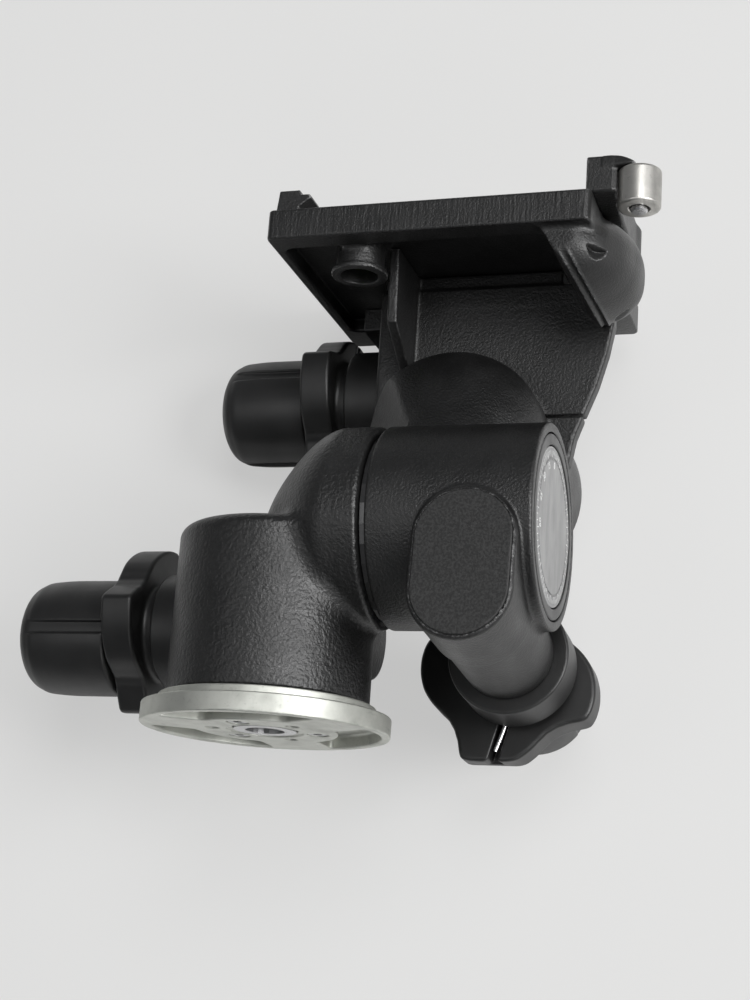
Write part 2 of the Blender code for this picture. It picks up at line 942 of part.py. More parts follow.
# Hardware along a joint's axis, from its face outwards
def make_joint_hardware(axis, frame, face, wheel_plane, inner_group, outer_group):
    at = face - spindleRoot + seatGap
    wheelEnd = wheel_plane + wheelWidth / 2
    ringLow = wheelEnd + seatGap
    nutLow = ringLow + frictionThickness + seatGap
    nutHigh = nutLow + nutThickness
    threadRadius = spindleRadius - 1.8
    add(
        f"{axis}_spindle",
        turned(
            [
                (0, at),
                (spindleRadius, at),
                (spindleRadius, wheelEnd),
                (threadRadius, wheelEnd),
                (threadRadius, nutHigh),
                (0, nutHigh),
            ],
            midSides,
        ),
        frame,
        inner_group,
        "steel",
    )
    add(
        f"{axis}_thrust_ring",
        washer(22.8, 12.0, face + seatGap, face + jointGap - runGap, 30),
        frame,
        inner_group,
        "aluminium",
    )
    add(
        f"{axis}_friction_ring",
        washer(11.0, threadRadius + seatGap, ringLow, ringLow + frictionThickness, 20),
        frame,
        inner_group,
        "bronze",
    )
    flats = [
        (9.0 * math.cos(rad(60 * k)), 9.0 * math.sin(rad(60 * k))) for k in range(6)
    ]
    nut = add(
        f"{axis}_spindle_nut", prism(flats, nutLow, nutHigh, 0.5), frame, inner_group, "steel"
    )
    cut(nut, rod(threadRadius + seatGap, nutLow - 1, nutHigh + 1), frame)
    bushLow = face + jointGap + 0.4
    bushHigh = wheel_plane - wheelWidth / 2 - 1.1
    add(
        f"{axis}_bearing_bush",
        washer(
            spindleRadius + bearingWall,
            spindleRadius + runGap,
            bushLow,
            bushHigh,
            midSides,
        ),
        frame,
        outer_group,
        "bronze",
    )
    end = face + jointGap + drumLength
    cap = add(
        f"{axis}_end_cap",
        rod(capRadius, end - capThickness, end, roundSides),
        frame,
        outer_group,
        "black_plastic",
    )
    pocket = end - dialThickness - 0.2 - seatGap
    cut(cap, rod(dialRadius + seatGap, pocket, end + 1, roundSides), frame)
    dialLow = pocket + seatGap
    add(
        f"{axis}_dial",
        rod(dialRadius, dialLow, dialLow + dialThickness, roundSides),
        frame,
        outer_group,
        "grey_dial",
    )


def bore_drum(housing, frame, face, wheel_plane):
    end = face + jointGap + drumLength
    wheelRoom = wheel_plane - wheelWidth / 2 - 0.8
    cut(
        housing,
        rod(spindleRadius + bearingWall + seatGap, face, wheelRoom + 1, midSides),
        frame,
    )
    cut(housing, rod(cavityRadius, wheelRoom, end + 1, roundSides), frame)
    counterbore = rod(
        capRadius + seatGap, end - capThickness - seatGap, end + 1, roundSides
    )
    cut(housing, counterbore, frame)


def drum(face, radius=drumRadius):
    low = face + jointGap
    high = low + drumLength
    return turned(
        [
            (0, low),
            (radius - 0.6, low),
            (radius, low + 0.6),
            (radius, high - 0.5),
            (radius - 0.5, high),
            (0, high),
        ]
    )


tiltWheelPlane = tiltTubeX - wormZ
sideWheelPlane = sideTubeY + wormZ


def stadium(radius, rise):
    """An upright pill around the tube's axis and a second centre nearer the drum."""
    outline = arc((0, 0), radius, 90, 270, 14)
    outline += arc((rise, 0), radius, -90, 90, 14)
    return outline


def make_tilt_housing():
    housing = add("tilt_housing", drum(tiltFace), alongX, "tilt", "black_paint")
    # The shoulder under the side axis is cut back, so that it passes the elbow.
    hub = elbow(sideFace, sideElbowSinks, (-1, 0))
    shoulder = add("tilt_shoulder", hub, alongY, "tilt")
    shoulder.hide_render = True
    shoulder.display_type = "WIRE"
    clear = max(elbowRadii) + 0.9
    cut(shoulder, rod(clear, -40, tiltFace + jointGap, roundSides), alongX)
    facet = [
        (tiltFace + jointGap, -20),
        (tiltFace + jointGap, 4),
        (sideCentreX - 25.5, 27),
        (-20, 27),
        (-20, -20),
    ]
    cut(shoulder, prism(facet, 40, 120))
    modifier = housing.modifiers.new("UNION 1", "BOOLEAN")
    modifier.operation = "UNION"
    modifier.solver = solvers["tilt_housing"]
    modifier.object = shoulder
    tube = tube_frame("tilt")
    fuse(housing, rod(tubeRadius - 0.25, -8, tubeEnd, midSides + 2), tube)
    pad = prism(stadium(padRadius, padRise), -padPlane, -4, 0.6)
    fuse(housing, pad, tube)
    seat = prism(
        stadium(padRadius - padInset + seatGap, padRise),
        -padPlane - 1,
        -padPlane + padInsertDepth,
    )
    cut(housing, seat, tube)
    bore_drum(housing, alongX, tiltFace, tiltWheelPlane)
    bore_tube(housing, "tilt")
    spindleBore = rod(spindleRadius + seatGap, sideFace - spindleRoot, sideFace + 3)
    cut(housing, spindleBore, alongY)
    insert = prism(
        stadium(padRadius - padInset, padRise),
        -padPlane - 0.3,
        -padPlane + padInsertDepth - seatGap,
        0.2,
    )
    add("tilt_pad_insert", insert, tube, "tilt", "dark_insert")


# Side arm
def make_side_arm():
    arm = add(
        "side_arm", drum(sideFace, drumRadius + 0.2), alongY, "side", "black_paint"
    )
    front = sideFace + jointGap
    back = front + drumLength
    left = sideCentreX - tubeEnd
    underPlatform = platformLow - seatGap
    # Outlines in x and z are stood up to run along y.
    upright = frame_at((0, 0, 0), (1, 0, 0), (0, 0, 1))
    foot = [(left, sideHeight), (sideCentreX, sideHeight - 12)]
    edge = [(armRight, armShoulderHeight), (armRight, underPlatform)]
    outline = foot + list(armEdge) + edge + [(left, underPlatform)]
    fuse(arm, prism(outline, -front - armPlate, -front, 0.7), upright)
    blockHigh = underPlatform - 0.4
    block = foot + list(blockEdge) + [(blockEdge[-1][0], blockHigh), (left, blockHigh)]
    block = [(x + 0.3 if x == left else x, z) for x, z in block]
    fuse(arm, prism(block, -back + 2.0, -front - 2.0), upright)
    fuse(arm, boxed((tabLeft, tabFront, tabLow), (left + 3, tabBack, underPlatform - 0.2)))
    inRecess = rounded_box(
        (left + 0.6, front + 0.6),
        (blockEdge[-1][0] - 0.5, recessBack - 1.0),
        2.0,
        underPlatform - 6,
        recessCeiling - seatGap,
    )
    fuse(arm, inRecess)
    drumTop = sideHeight + drumRadius
    gusset = [
        (front + 3, drumTop - gussetSink),
        (front + 3, recessCeiling - seatGap),
        (gussetTip, recessCeiling - seatGap),
        (gussetKnee, drumTop + gussetRise),
        (front, drumTop - gussetSink),
    ]
    across = frame_at((gussetLeft, 0, 0), (0, 1, 0), (0, 0, 1))
    fuse(arm, prism(gusset, 0, gussetWidth), across)
    bore_drum(arm, alongY, sideFace, sideWheelPlane)
    bore_tube(arm, "side")
    for x, y in platform_screws():
        at = Matrix.Translation(Vector((x, y, 0)))
        cut(arm, rod(platformScrewRadius + seatGap, 112.0, recessCeiling + 2, 16), at)


def platform_screws():
    rows = [sideFace + reach for reach in screwRows]
    return [(x, y) for y in rows for x in screwColumns]


# Camera platform with its plate clamp
def lock_housing():
    """The lock housing that swells out of the platform's right end."""
    sides = 20
    rings = []
    for y, size in lockStations:
        ring = []
        for k in range(sides):
            a = 2 * math.pi * k / sides
            c, s = math.cos(a), math.sin(a)
            x = math.copysign(abs(c) ** lockSquareness, c) * lockHalfWide * size
            z = math.copysign(abs(s) ** lockSquareness, s) * lockHalfHigh * size
            ring.append((lockCentreX + x, y, lockCentreZ + z))
        rings.append(ring)
    return ring_loft(rings)


def make_platform():
    upright = frame_at((0, 0, 0), (1, 0, 0), (0, 0, 1))
    plate = add(
        "camera_platform",
        rounded_box(
            (platformLeft, platformFront),
            (platformRight, platformBack),
            cornerRadius,
            platformLow,
            platformHigh,
            platformEdge,
        ),
        world,
        "side",
        "black_paint",
    )
    fuse(plate, lock_housing())
    face = [(40, lockFaceFoot[1]), lockFaceFoot, lockFaceTop, (40, lockFaceTop[1])]
    cut(plate, prism(face, -70, 20), upright)
    # Clears the lock housing where the arm and the platform's top face are.
    cut(plate, boxed((40, -20, platformHigh), (100, 80, platformHigh + 10)))
    recess = rounded_box(
        (recessLeft, 0.0), (recessRight, recessBack), 2.5, 100, recessCeiling
    )
    cut(plate, recess)
    armTop = [
        (recessRight - 3, sideFace + jointGap - 0.4),
        (armRight + 0.4, sideFace + jointGap - 0.4),
        (armRight + 0.4, sideFace + jointGap + drumLength + 0.4),
        (recessRight - 3, sideFace + jointGap + drumLength + 0.4),
    ]
    cut(plate, prism(armTop, 90, platformLow))
    # A thin rib runs down the leaning face, from the front to the arm.
    slope = (lockFaceFoot[0] - lockFaceTop[0]) / (lockFaceTop[1] - lockFaceFoot[1])
    ribBack = sideFace + jointGap - 1.4
    ribX = lockFaceTop[0] + slope * (platformLow - ribFoot)
    ribEnds = [(lockFaceTop[0] + 0.3, 0.6, platformLow - 0.3), (ribX, ribBack, ribFoot)]
    fuse(plate, swept(ribEnds, ribRadius, 8))
    level = Matrix.Translation(Vector((levelX, levelY, 0)))
    fuse(
        plate,
        turned(
            [
                (0, levelBottom),
                (levelLipRadius, levelBottom),
                (levelLipRadius, levelBottom + 1.2),
                (levelBossRadius, levelBottom + 1.6),
                (levelBossRadius, recessCeiling + 1),
                (0, recessCeiling + 1),
            ],
            24,
        ),
        level,
    )
    cut(plate, rod(levelHoleRadius, levelBottom - 1, platformHigh + 1, 24), level)
    for x, y in platform_screws():
        at = Matrix.Translation(Vector((x, y, 0)))
        cut(plate, rod(platformScrewRadius + seatGap, 120, platformHigh + 1, 16), at)
        headRoom = rod(platformScrewHead + seatGap, 131.0, platformHigh + 1, 20)
        cut(plate, headRoom, at)
    pivot = Matrix.Translation(Vector((leverPivotX, leverPivotY, 0)))
    cut(plate, rod(pinRadius + seatGap, platformLow - 1, platformHigh + 1, 20), pivot)
    for k, (x, y) in enumerate(platform_screws()):
        at = Matrix.Translation(Vector((x, y, 0)))
        screw = add(
            f"platform_screw_{k + 1}",
            turned(
                [
                    (0, 112.3),
                    (platformScrewRadius, 112.3),
                    (platformScrewRadius, 131.3),
                    (platformScrewHead, 131.3),
                    (platformScrewHead, platformHigh - 0.2),
                    (0, platformHigh - 0.2),
                ],
                12,
            ),
            at,
            "side",
            "steel",
        )
        cut(screw, rod(2.2, 131.9, platformHigh + 1, 6), at)
    add(
        "level_vial",
        rod(levelHoleRadius - seatGap, platformHigh - 6.5, platformHigh - 0.3, 20),
        level,
        "side",
        "level_liquid",
    )


def make_clamp():
    seatHigh = platformHigh + jawHeight
    # A dovetail jaw along the left edge, leaning over the plate seat.
    lip = platformHigh + jawStep
    jaw = [
        (platformLeft + 1.2, platformHigh + seatGap),
        (platformLeft + jawWidth - 1.6, platformHigh + seatGap),
        (platformLeft + jawWidth - 1.6, platformHigh + 1.6),
        (platformLeft + jawWidth + 1.6, lip - 1.0),
        (platformLeft + jawWidth + 1.0, lip),
        (platformLeft + jawWidth - 1.3, lip),
        (platformLeft + jawWidth - 1.8, seatHigh),
        (platformLeft + 1.8, seatHigh),
    ]
    upright = frame_at((0, 0, 0), (1, 0, 0), (0, 0, 1))
    fixed = add(
        "fixed_jaw",
        prism(jaw, -(platformBack - 6), -(platformFront + 2.5)),
        upright,
        "side",
        "aluminium",
    )
    slot = boxed(
        (platformLeft - 1, 3.0, platformHigh + 2.6),
        (platformLeft + jawWidth + 4, 8.0, seatHigh + 1),
    )
    cut(fixed, slot)
    lug = [
        (lugLeft, platformHigh + seatGap),
        (lugRight, platformHigh + seatGap),
        (lugRight, platformHigh + lugHeight),
        (lugLip, platformHigh + lugHeight),
        (lugLip, platformHigh + lugHeight - 1.0),
        (lugLeft, platformHigh + 1.8),
    ]
    add(
        "moving_jaw",
        prism(lug, -lugBack, -lugFront),
        upright,
        "side",
        "aluminium",
    )
    pivot = Matrix.Translation(Vector((leverPivotX, leverPivotY, 0)))
    leverTop = leverLow + leverThickness
    add(
        "lever_pivot_pin",
        turned(
            [
                (0, platformLow + seatGap),
                (pinRadius, platformLow + seatGap),
                (pinRadius, leverTop + 0.3),
                (pinHead, leverTop + 0.3),
                (pinHead, leverTop + 1.9),
                (0, leverTop + 1.9),
            ],
            smallSides,
        ),
        pivot,
        "side",
        "steel",
    )
    make_lever(pivot, leverTop)


def make_lever(pivot, lever_top):
    lever = add(
        "clamp_lever",
        rod(leverHubRadius, leverLow, lever_top, 32, 0.6),
        pivot,
        "lever",
        "black_plastic",
    )
    outline = [(leverPivotX - 5.0, leverPivotY)]
    outline += leverInside + leverOutside
    outline += [
        (leverPivotX + 5.4, leverPivotY),
        (leverPivotX + 3.0, leverPivotY + leverBack),
        (leverPivotX - 3.0, leverPivotY + leverBack),
    ]
    fuse(lever, prism(outline, leverLow + 0.1, lever_top - 0.1, 0.7))
    barrel = Matrix.Translation(Vector((barrelX, barrelY, 0)))
    cut(lever, rod(pinRadius + runGap, leverLow - 2, lever_top + 2, 20), pivot)
    cut(lever, rod(barrelRadius + seatGap, barrelLow - 1, barrelHigh + 0.3, 32), barrel)
    # The finger of the lever reaches over the barrel and holds it from above.
    finger = [
        (fingerRoot, -fingerHalf + 1.2),
        (barrelX, -fingerHalf),
        (barrelX + fingerReach, -2.4),
        (barrelX + fingerReach, 2.4),
        (barrelX, fingerHalf),
        (fingerRoot, fingerHalf - 1.2),
    ]
    fuse(lever, prism(finger, barrelHigh + seatGap, lever_top - 0.6, 0.5))
    add(
        "lever_barrel",
        turned(
            [
                (buttonRadius + runGap, barrelLow),
                (barrelRadius - 0.6, barrelLow),
                (barrelRadius, barrelLow + 0.6),
                (barrelRadius, barrelHigh),
                (buttonRadius + 1.6, barrelHigh),
                (buttonRadius + 1.6, barrelLow + 2.2),
                (buttonRadius + runGap, barrelLow + 2.2),
            ],
            22,
        ),
        barrel,
        "lever",
        "aluminium",
    )
    add(
        "lock_button",
        turned(
            [
                (0, barrelLow - 0.9),
                (buttonRadius - 0.4, barrelLow - 0.9),
                (buttonRadius, barrelLow - 0.5),
                (buttonRadius, barrelLow + 2.5),
                (buttonRadius + 1.2, barrelLow + 2.5),
                (buttonRadius + 1.2, barrelLow + 3.5),
                (0, barrelLow + 3.5),
            ],
            14,
        ),
        barrel,
        "button",
        "steel",
    )
    low = barrelLow + 4.3
    high = barrelHigh - 0.6
    steps = 8
    count = lockSpringTurns * steps
    coil = []
    for i in range(count + 1):
        a = 2 * math.pi * i / steps
        x, y = lockSpringRadius * math.cos(a), lockSpringRadius * math.sin(a)
        coil.append((x, y, low + (high - low) * i / count))
    print_gap("lock_spring", coil, lockSpringWire)
    add("lock_spring", swept(coil, lockSpringWire / 2, 4), barrel, "lever", "steel")


def main():
    clear_scene()
    add_groups()
    make_base()
    make_pan_housing()
    make_wheel("pan", "base", panPostRadius + seatGap)
    make_drive("pan", "pan")
    make_tilt_housing()
    make_joint_hardware("tilt", alongX, tiltFace, tiltWheelPlane, "pan", "tilt")
    make_wheel("tilt", "pan", spindleRadius + seatGap)
    make_drive("tilt", "tilt")
    make_side_arm()
    make_joint_hardware("side", alongY, sideFace, sideWheelPlane, "tilt", "side")
    make_wheel("side", "tilt", spindleRadius + seatGap)
    make_drive("side", "side")
    make_platform()
    make_clamp()


main()
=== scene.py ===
import math

import bpy
import numpy as np
from mathutils import Matrix, Vector


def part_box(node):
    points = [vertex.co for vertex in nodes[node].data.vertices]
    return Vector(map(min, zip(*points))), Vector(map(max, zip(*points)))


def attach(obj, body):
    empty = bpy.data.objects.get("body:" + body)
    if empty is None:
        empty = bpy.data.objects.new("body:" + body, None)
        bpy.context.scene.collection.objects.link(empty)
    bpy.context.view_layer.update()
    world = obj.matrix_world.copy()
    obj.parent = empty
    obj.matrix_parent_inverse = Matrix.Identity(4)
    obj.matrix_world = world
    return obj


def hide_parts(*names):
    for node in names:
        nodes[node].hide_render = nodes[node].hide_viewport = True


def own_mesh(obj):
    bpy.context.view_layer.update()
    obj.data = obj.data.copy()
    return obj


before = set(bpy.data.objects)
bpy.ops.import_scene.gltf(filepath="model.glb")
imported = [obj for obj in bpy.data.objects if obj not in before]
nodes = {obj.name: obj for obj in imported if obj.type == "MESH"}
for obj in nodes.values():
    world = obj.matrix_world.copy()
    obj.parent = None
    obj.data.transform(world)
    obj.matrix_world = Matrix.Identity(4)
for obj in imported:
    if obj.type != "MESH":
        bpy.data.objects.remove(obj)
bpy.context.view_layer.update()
mm = 0.001

print("stage: frame and drives")

# Places of the three axes and the worm drives, in millimetres as in the part
places = {
    "tiltHeight": 49.8,
    "tiltFace": 26.9,
    "sideX": 36.0,
    "sideHeight": 77.5,
    "sideFace": 28.6,
    "gap": 1.8,
    "drumLength": 39.2,
    "tubeDistance": 23.5,
    "wheelRoom": 19.19,
    "wormOffset": (-22.570, 1.994),
    "panTubeHeight": 28.9,
    "tiltTubeX": 53.0,
    "tiltPitch": 6.0,
    "sideTubeY": 55.0,
    "leverPivot": (73.8, 40.0),
    "leverPin": 2.8,
}


def newObject(name, data):
    made = bpy.data.objects.new(name, data)
    bpy.context.scene.collection.objects.link(made)
    return made


def frameAt(origin, xAxis, yAxis):
    x = Vector(xAxis).normalized()
    y = Vector(yAxis).normalized()
    turned = Matrix((x, y, x.cross(y))).transposed().to_4x4()
    return Matrix.Translation(Vector(origin)) @ turned


pitch = math.radians(places["tiltPitch"])
pitchSin, pitchCos = math.sin(pitch), math.cos(pitch)
alongX = frameAt((0, 0, places["tiltHeight"]), (0, 1, 0), (0, 0, 1))
alongY = frameAt((places["sideX"], 0, places["sideHeight"]), (0, 0, 1), (1, 0, 0))
upright = frameAt((0, 0, 0), (1, 0, 0), (0, 0, 1))
leverPivot = Matrix.Translation((*places["leverPivot"], 0))
driveFrames = {
    "pan": frameAt((0, 0, places["panTubeHeight"]), (1, 0, 0), (0, -1, 0)),
    "tilt": frameAt(
        (places["tiltTubeX"], 0, places["tiltHeight"]),
        (0, -pitchCos, pitchSin),
        (0, pitchSin, pitchCos),
    ),
    "side": frameAt(
        (places["sideX"], places["sideTubeY"], places["sideHeight"]), (1, 0, 0), (0, 0, -1)
    ),
}


def tubeFrame(drive):
    return driveFrames[drive] @ frameAt((0, -places["tubeDistance"], 0), (0, 1, 0), (0, 0, -1))


def wormFrame(drive):
    return driveFrames[drive] @ frameAt((0, *places["wormOffset"]), (0, 1, 0), (0, 0, -1))


# Shapes as distance fields: each takes points in millimetres and gives how far outside they lie
def smoothCurve(x, stations, values):
    xs, ys = np.array(stations, float), np.array(values, float)
    slopes = np.gradient(ys, xs)
    x = np.clip(x, xs[0], xs[-1])
    i = np.clip(np.searchsorted(xs, x) - 1, 0, len(xs) - 2)
    width = xs[i + 1] - xs[i]
    t = (x - xs[i]) / width
    return (
        (2 * t**3 - 3 * t**2 + 1) * ys[i]
        + (t**3 - 2 * t**2 + t) * width * slopes[i]
        + (3 * t**2 - 2 * t**3) * ys[i + 1]
        + (t**3 - t**2) * width * slopes[i + 1]
    )


def rounded(out, tall, soft):
    out, tall = out + soft, tall + soft
    inner = np.minimum(np.maximum(out, tall), 0)
    return inner + np.hypot(np.maximum(out, 0), np.maximum(tall, 0)) - soft


def beyond(values, low, high):
    return abs(values - (low + high) / 2) - (high - low) / 2


def drumShape(radius, low, high, soft):
    return lambda p: rounded(np.hypot(p[:, 0], p[:, 1]) - radius, beyond(p[:, 2], low, high), soft)


def ringShape(outer, inner, low, high, soft):
    return lambda p: rounded(
        beyond(np.hypot(p[:, 0], p[:, 1]), inner, outer), beyond(p[:, 2], low, high), soft
    )


def blockShape(low, high, soft):
    low, high = np.array(low, float), np.array(high, float)
    middle, half = (low + high) / 2, (high - low) / 2

    def field(p):
        away = abs(p - middle) - half + soft
        inner = np.minimum(away.max(axis=1), 0)
        return inner + np.linalg.norm(np.maximum(away, 0), axis=1) - soft

    return field


def insideOutline(outline, x, y):
    best = np.full(x.shape, 1e9)
    inside = np.zeros(x.shape, bool)
    for i, (ax, ay) in enumerate(outline):
        bx, by = outline[(i + 1) % len(outline)]
        ex, ey = bx - ax, by - ay
        wx, wy = x - ax, y - ay
        t = np.clip((wx * ex + wy * ey) / (ex * ex + ey * ey), 0, 1)
        best = np.minimum(best, (wx - ex * t) ** 2 + (wy - ey * t) ** 2)
        turn = ex * wy - ey * wx
        inside ^= ((ay <= y) & (y < by) & (turn > 0)) | ((by <= y) & (y < ay) & (turn < 0))
    return np.where(inside, -1, 1) * np.sqrt(best)


def rectangle(low, high, inset):
    (left, front), (right, back) = low, high
    left, front, right, back = left + inset, front + inset, right - inset, back - inset
    return [(left, front), (right, front), (right, back), (left, back)]


def slabShape(outline, low, high, soft, corner=0.0):
    return lambda p: rounded(
        insideOutline(outline, p[:, 0], p[:, 1]) - corner, beyond(p[:, 2], low, high), soft
    )


def slotShape(run, radius, low, high, soft):
    # A slot from the origin along run
    run = np.array(run, float)

    def field(p):
        t = np.clip(p[:, :2] @ run / (run @ run), 0, 1)
        out = np.linalg.norm(p[:, :2] - t[:, None] * run, axis=1) - radius
        return rounded(out, beyond(p[:, 2], low, high), soft)

    return field


def sideOf(point, normal):
    point, normal = np.array(point, float), np.array(normal, float)
    normal /= np.linalg.norm(normal)
    return lambda p: (p - point) @ normal


def placed(matrix, shape):
    back = np.array(matrix.inverted())
    return lambda p: shape(p @ back[:3, :3].T + back[:3, 3])


def melt(a, b, soft):
    if soft <= 0:
        return np.minimum(a, b)
    near = np.maximum(soft - abs(a - b), 0) / soft
    return np.minimum(a, b) - near * near * soft / 4


def casting(*steps):
    # Each step is how it joins ("add", "cut" or "keep"), its shape and the fillet between them
    def field(p):
        value = None
        for how, shape, soft in steps:
            other = shape(p)
            if value is None:
                value = other
            elif how == "add":
                value = melt(value, other, soft)
            elif how == "cut":
                value = -melt(-value, other, soft)
            else:
                value = -melt(-value, -other, soft)
        return value

    return field


def drum(how, radius, low, high, soft, fillet, at=None):
    # A casting's step with a drum, along Z or along the Z of the frame at
    shape = drumShape(radius, low, high, soft)
    return how, placed(at, shape) if at else shape, fillet


# A mesh from a field: cells that the surface crosses get a point, and their neighbours are joined
def sampled(field, low, step, count):
    block = 8
    blocks = count // block
    corner = np.indices(blocks).reshape(3, -1).T * block
    centres = low + (corner + (block - 1) / 2) * step
    rough = field(centres)
    values = np.repeat(rough[:, None], block**3, axis=1)
    reach = block * step * 0.95
    near = np.flatnonzero(abs(rough) < reach)
    offsets = np.indices((block,) * 3).reshape(3, -1).T
    for chunk in np.array_split(near, max(1, len(near) // 400)):
        points = low + (corner[chunk][:, None, :] + offsets[None]) * step
        values[chunk] = field(points.reshape(-1, 3)).reshape(len(chunk), -1)
    shape = (*blocks, block, block, block)
    return values.reshape(shape).transpose(0, 3, 1, 4, 2, 5).reshape(count)


def gradient(field, points, reach=0.02):
    slope = np.empty_like(points)
    for axis in range(3):
        shift = np.zeros(3)
        shift[axis] = reach
        slope[:, axis] = (field(points + shift) - field(points - shift)) / (2 * reach)
    return slope


def surfaceOf(field, low, high, step):
    low = np.array(low, float) - 2 * step
    count = (np.ceil((np.array(high, float) + 2 * step - low) / step / 8).astype(int)) * 8
    values = sampled(field, low, step, count)
    inside = values < 0
    corners = [(i, j, k) for i in (0, 1) for j in (0, 1) for k in (0, 1)]

    def at(array, corner):
        return array[tuple(slice(c, n - 1 + c) for c, n in zip(corner, array.shape))]

    some = np.zeros(tuple(n - 1 for n in inside.shape), bool)
    every = ~some
    for corner in corners:
        some |= at(inside, corner)
        every &= at(inside, corner)
    cells = np.argwhere(some & ~every)
    number = np.full(some.shape, -1, np.int32)
    number[tuple(cells.T)] = np.arange(len(cells))
    depth = np.stack([values[tuple((cells + c).T)] for c in corners], axis=1)
    total = np.zeros((len(cells), 3))
    hits = np.zeros((len(cells), 1))
    for one, a in enumerate(corners):
        for two, b in enumerate(corners):
            if sum(b) - sum(a) != 1 or sum(abs(m - n) for m, n in zip(a, b)) != 1:
                continue
            va, vb = depth[:, one], depth[:, two]
            crossed = (va < 0) != (vb < 0)
            t = np.where(crossed, va / np.where(crossed, va - vb, 1), 0)[:, None]
            point = np.array(a) + t * (np.array(b) - np.array(a))
            total += np.where(crossed[:, None], point, 0)
            hits += crossed[:, None]
    points = low + (cells + total / hits) * step
    quads = []
    for axis in range(3):
        one, two = np.eye(3, dtype=int)[(axis + 1) % 3], np.eye(3, dtype=int)[(axis + 2) % 3]
        size = list(inside.shape)
        first = [slice(1, size[n] - 1) for n in range(3)]
        second = list(first)
        first[axis], second[axis] = slice(0, size[axis] - 1), slice(1, size[axis])
        start = inside[tuple(first)]
        crossing = np.argwhere(start != inside[tuple(second)])
        outward = start[tuple(crossing.T)]
        shift = np.ones(3, int)
        shift[axis] = 0
        crossing += shift
        loop = [number[tuple((crossing - m).T)] for m in (one + two, two, 0 * one, one)]
        quad = np.stack(loop, axis=1)
        quad[~outward] = quad[~outward][:, ::-1]
        quads.append(quad)
    quads = np.concatenate(quads)
    return settled(field, points, step), quads


def thinned(points, quads, share):
    mesh = bpy.data.meshes.new("thinned")
    mesh.from_pydata(points.tolist(), [], quads.tolist())
    thing = newObject("thinned", mesh)
    modifier = thing.modifiers.new("thinner", "DECIMATE")
    modifier.ratio = share
    seen = thing.evaluated_get(bpy.context.evaluated_depsgraph_get()).to_mesh()
    seen.calc_loop_triangles()
    points = np.empty(len(seen.vertices) * 3)
    seen.vertices.foreach_get("co", points)
    faces = np.empty(len(seen.loop_triangles) * 3, np.int32)
    seen.loop_triangles.foreach_get("vertices", faces)
    bpy.data.objects.remove(thing)
    return points.reshape(-1, 3), faces.reshape(-1, 3)


def settled(field, points, step, rounds=3):
    # Moves each point onto the field's own surface
    for _ in range(rounds):
        slope = gradient(field, points)
        steep = np.maximum((slope**2).sum(axis=1, keepdims=True), 0.05)
        move = field(points)[:, None] * slope / steep
        long = np.linalg.norm(move, axis=1, keepdims=True)
        points = points - move * np.minimum(1, 0.4 * step / np.maximum(long, 1e-9))
    return points


def roundRoom(reach, low, high):
    return (-reach, -reach, low), (reach, reach, high)


def cast(name, body, finish, field, step, replaced, room=None, matrix=None):
    # room is the box to look in, in the piece's own frame, or else the CAD node's own box
    low, high = room or (np.array(corner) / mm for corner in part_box(replaced))
    points, quads = surfaceOf(field, low, high, step)
    points, quads = thinned(points, quads, 0.4)
    points = settled(field, points, step, 1)
    slope = gradient(field, points)
    normals = slope / np.maximum(np.linalg.norm(slope, axis=1, keepdims=True), 1e-6)
    bend = -6 * field(points)
    reach = 0.7
    for axis in range(3):
        shift = np.zeros(3)
        shift[axis] = reach
        bend += field(points + shift) + field(points - shift)
    if matrix is not None:
        turn = np.array(matrix)
        points = points @ turn[:3, :3].T + turn[:3, 3]
        normals = normals @ turn[:3, :3].T
    mesh = bpy.data.meshes.new(name)
    mesh.vertices.add(len(points))
    mesh.vertices.foreach_set("co", (points * mm).astype(np.float32).ravel())
    mesh.loops.add(quads.size)
    mesh.loops.foreach_set("vertex_index", quads.ravel().astype(np.int32))
    mesh.polygons.add(len(quads))
    mesh.polygons.foreach_set("loop_start", np.arange(0, quads.size, quads.shape[1], dtype=np.int32))
    mesh.update(calc_edges=True)
    mesh.validate()
    edge = mesh.attributes.new("edge", "FLOAT", "POINT")
    if len(mesh.vertices) == len(points):
        edge.data.foreach_set("value", (bend / reach).astype(np.float32))
        mesh.shade_smooth()
        mesh.normals_split_custom_set_from_vertices(normals.tolist())
    mesh.materials.append(finishes[finish])
    made = newObject(name, mesh)
    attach(made, body)
    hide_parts(replaced)
    print("stage:", name, len(points), "points")
    return made


# Node trees, and the finishes made with them
class Nodes:
    def __init__(self, tree):
        self.nodes = tree.nodes
        self.link = tree.links.new

    def node(self, kind, **values):
        made = self.nodes.new(kind)
        for key, value in values.items():
            setattr(made, key, value)
        return made

    def fill(self, made, sockets):
        # Each input is linked from a socket or set to a value
        for key, value in sockets.items():
            if isinstance(value, bpy.types.NodeSocket):
                self.link(value, made.inputs[key])
            else:
                made.inputs[key].default_value = value

    def wired(self, kind, sockets={}, output=0, **values):
        made = self.node(kind, **values)
        self.fill(made, sockets)
        return made.outputs[output]

    def math(self, operation, a, b=0.0):
        return self.wired("ShaderNodeMath", {0: a, 1: b}, operation=operation)

    def shared(self, share, a, b):
        # One shader, and another by its share
        return self.wired("ShaderNodeMixShader", {0: share, 1: a, 2: b})


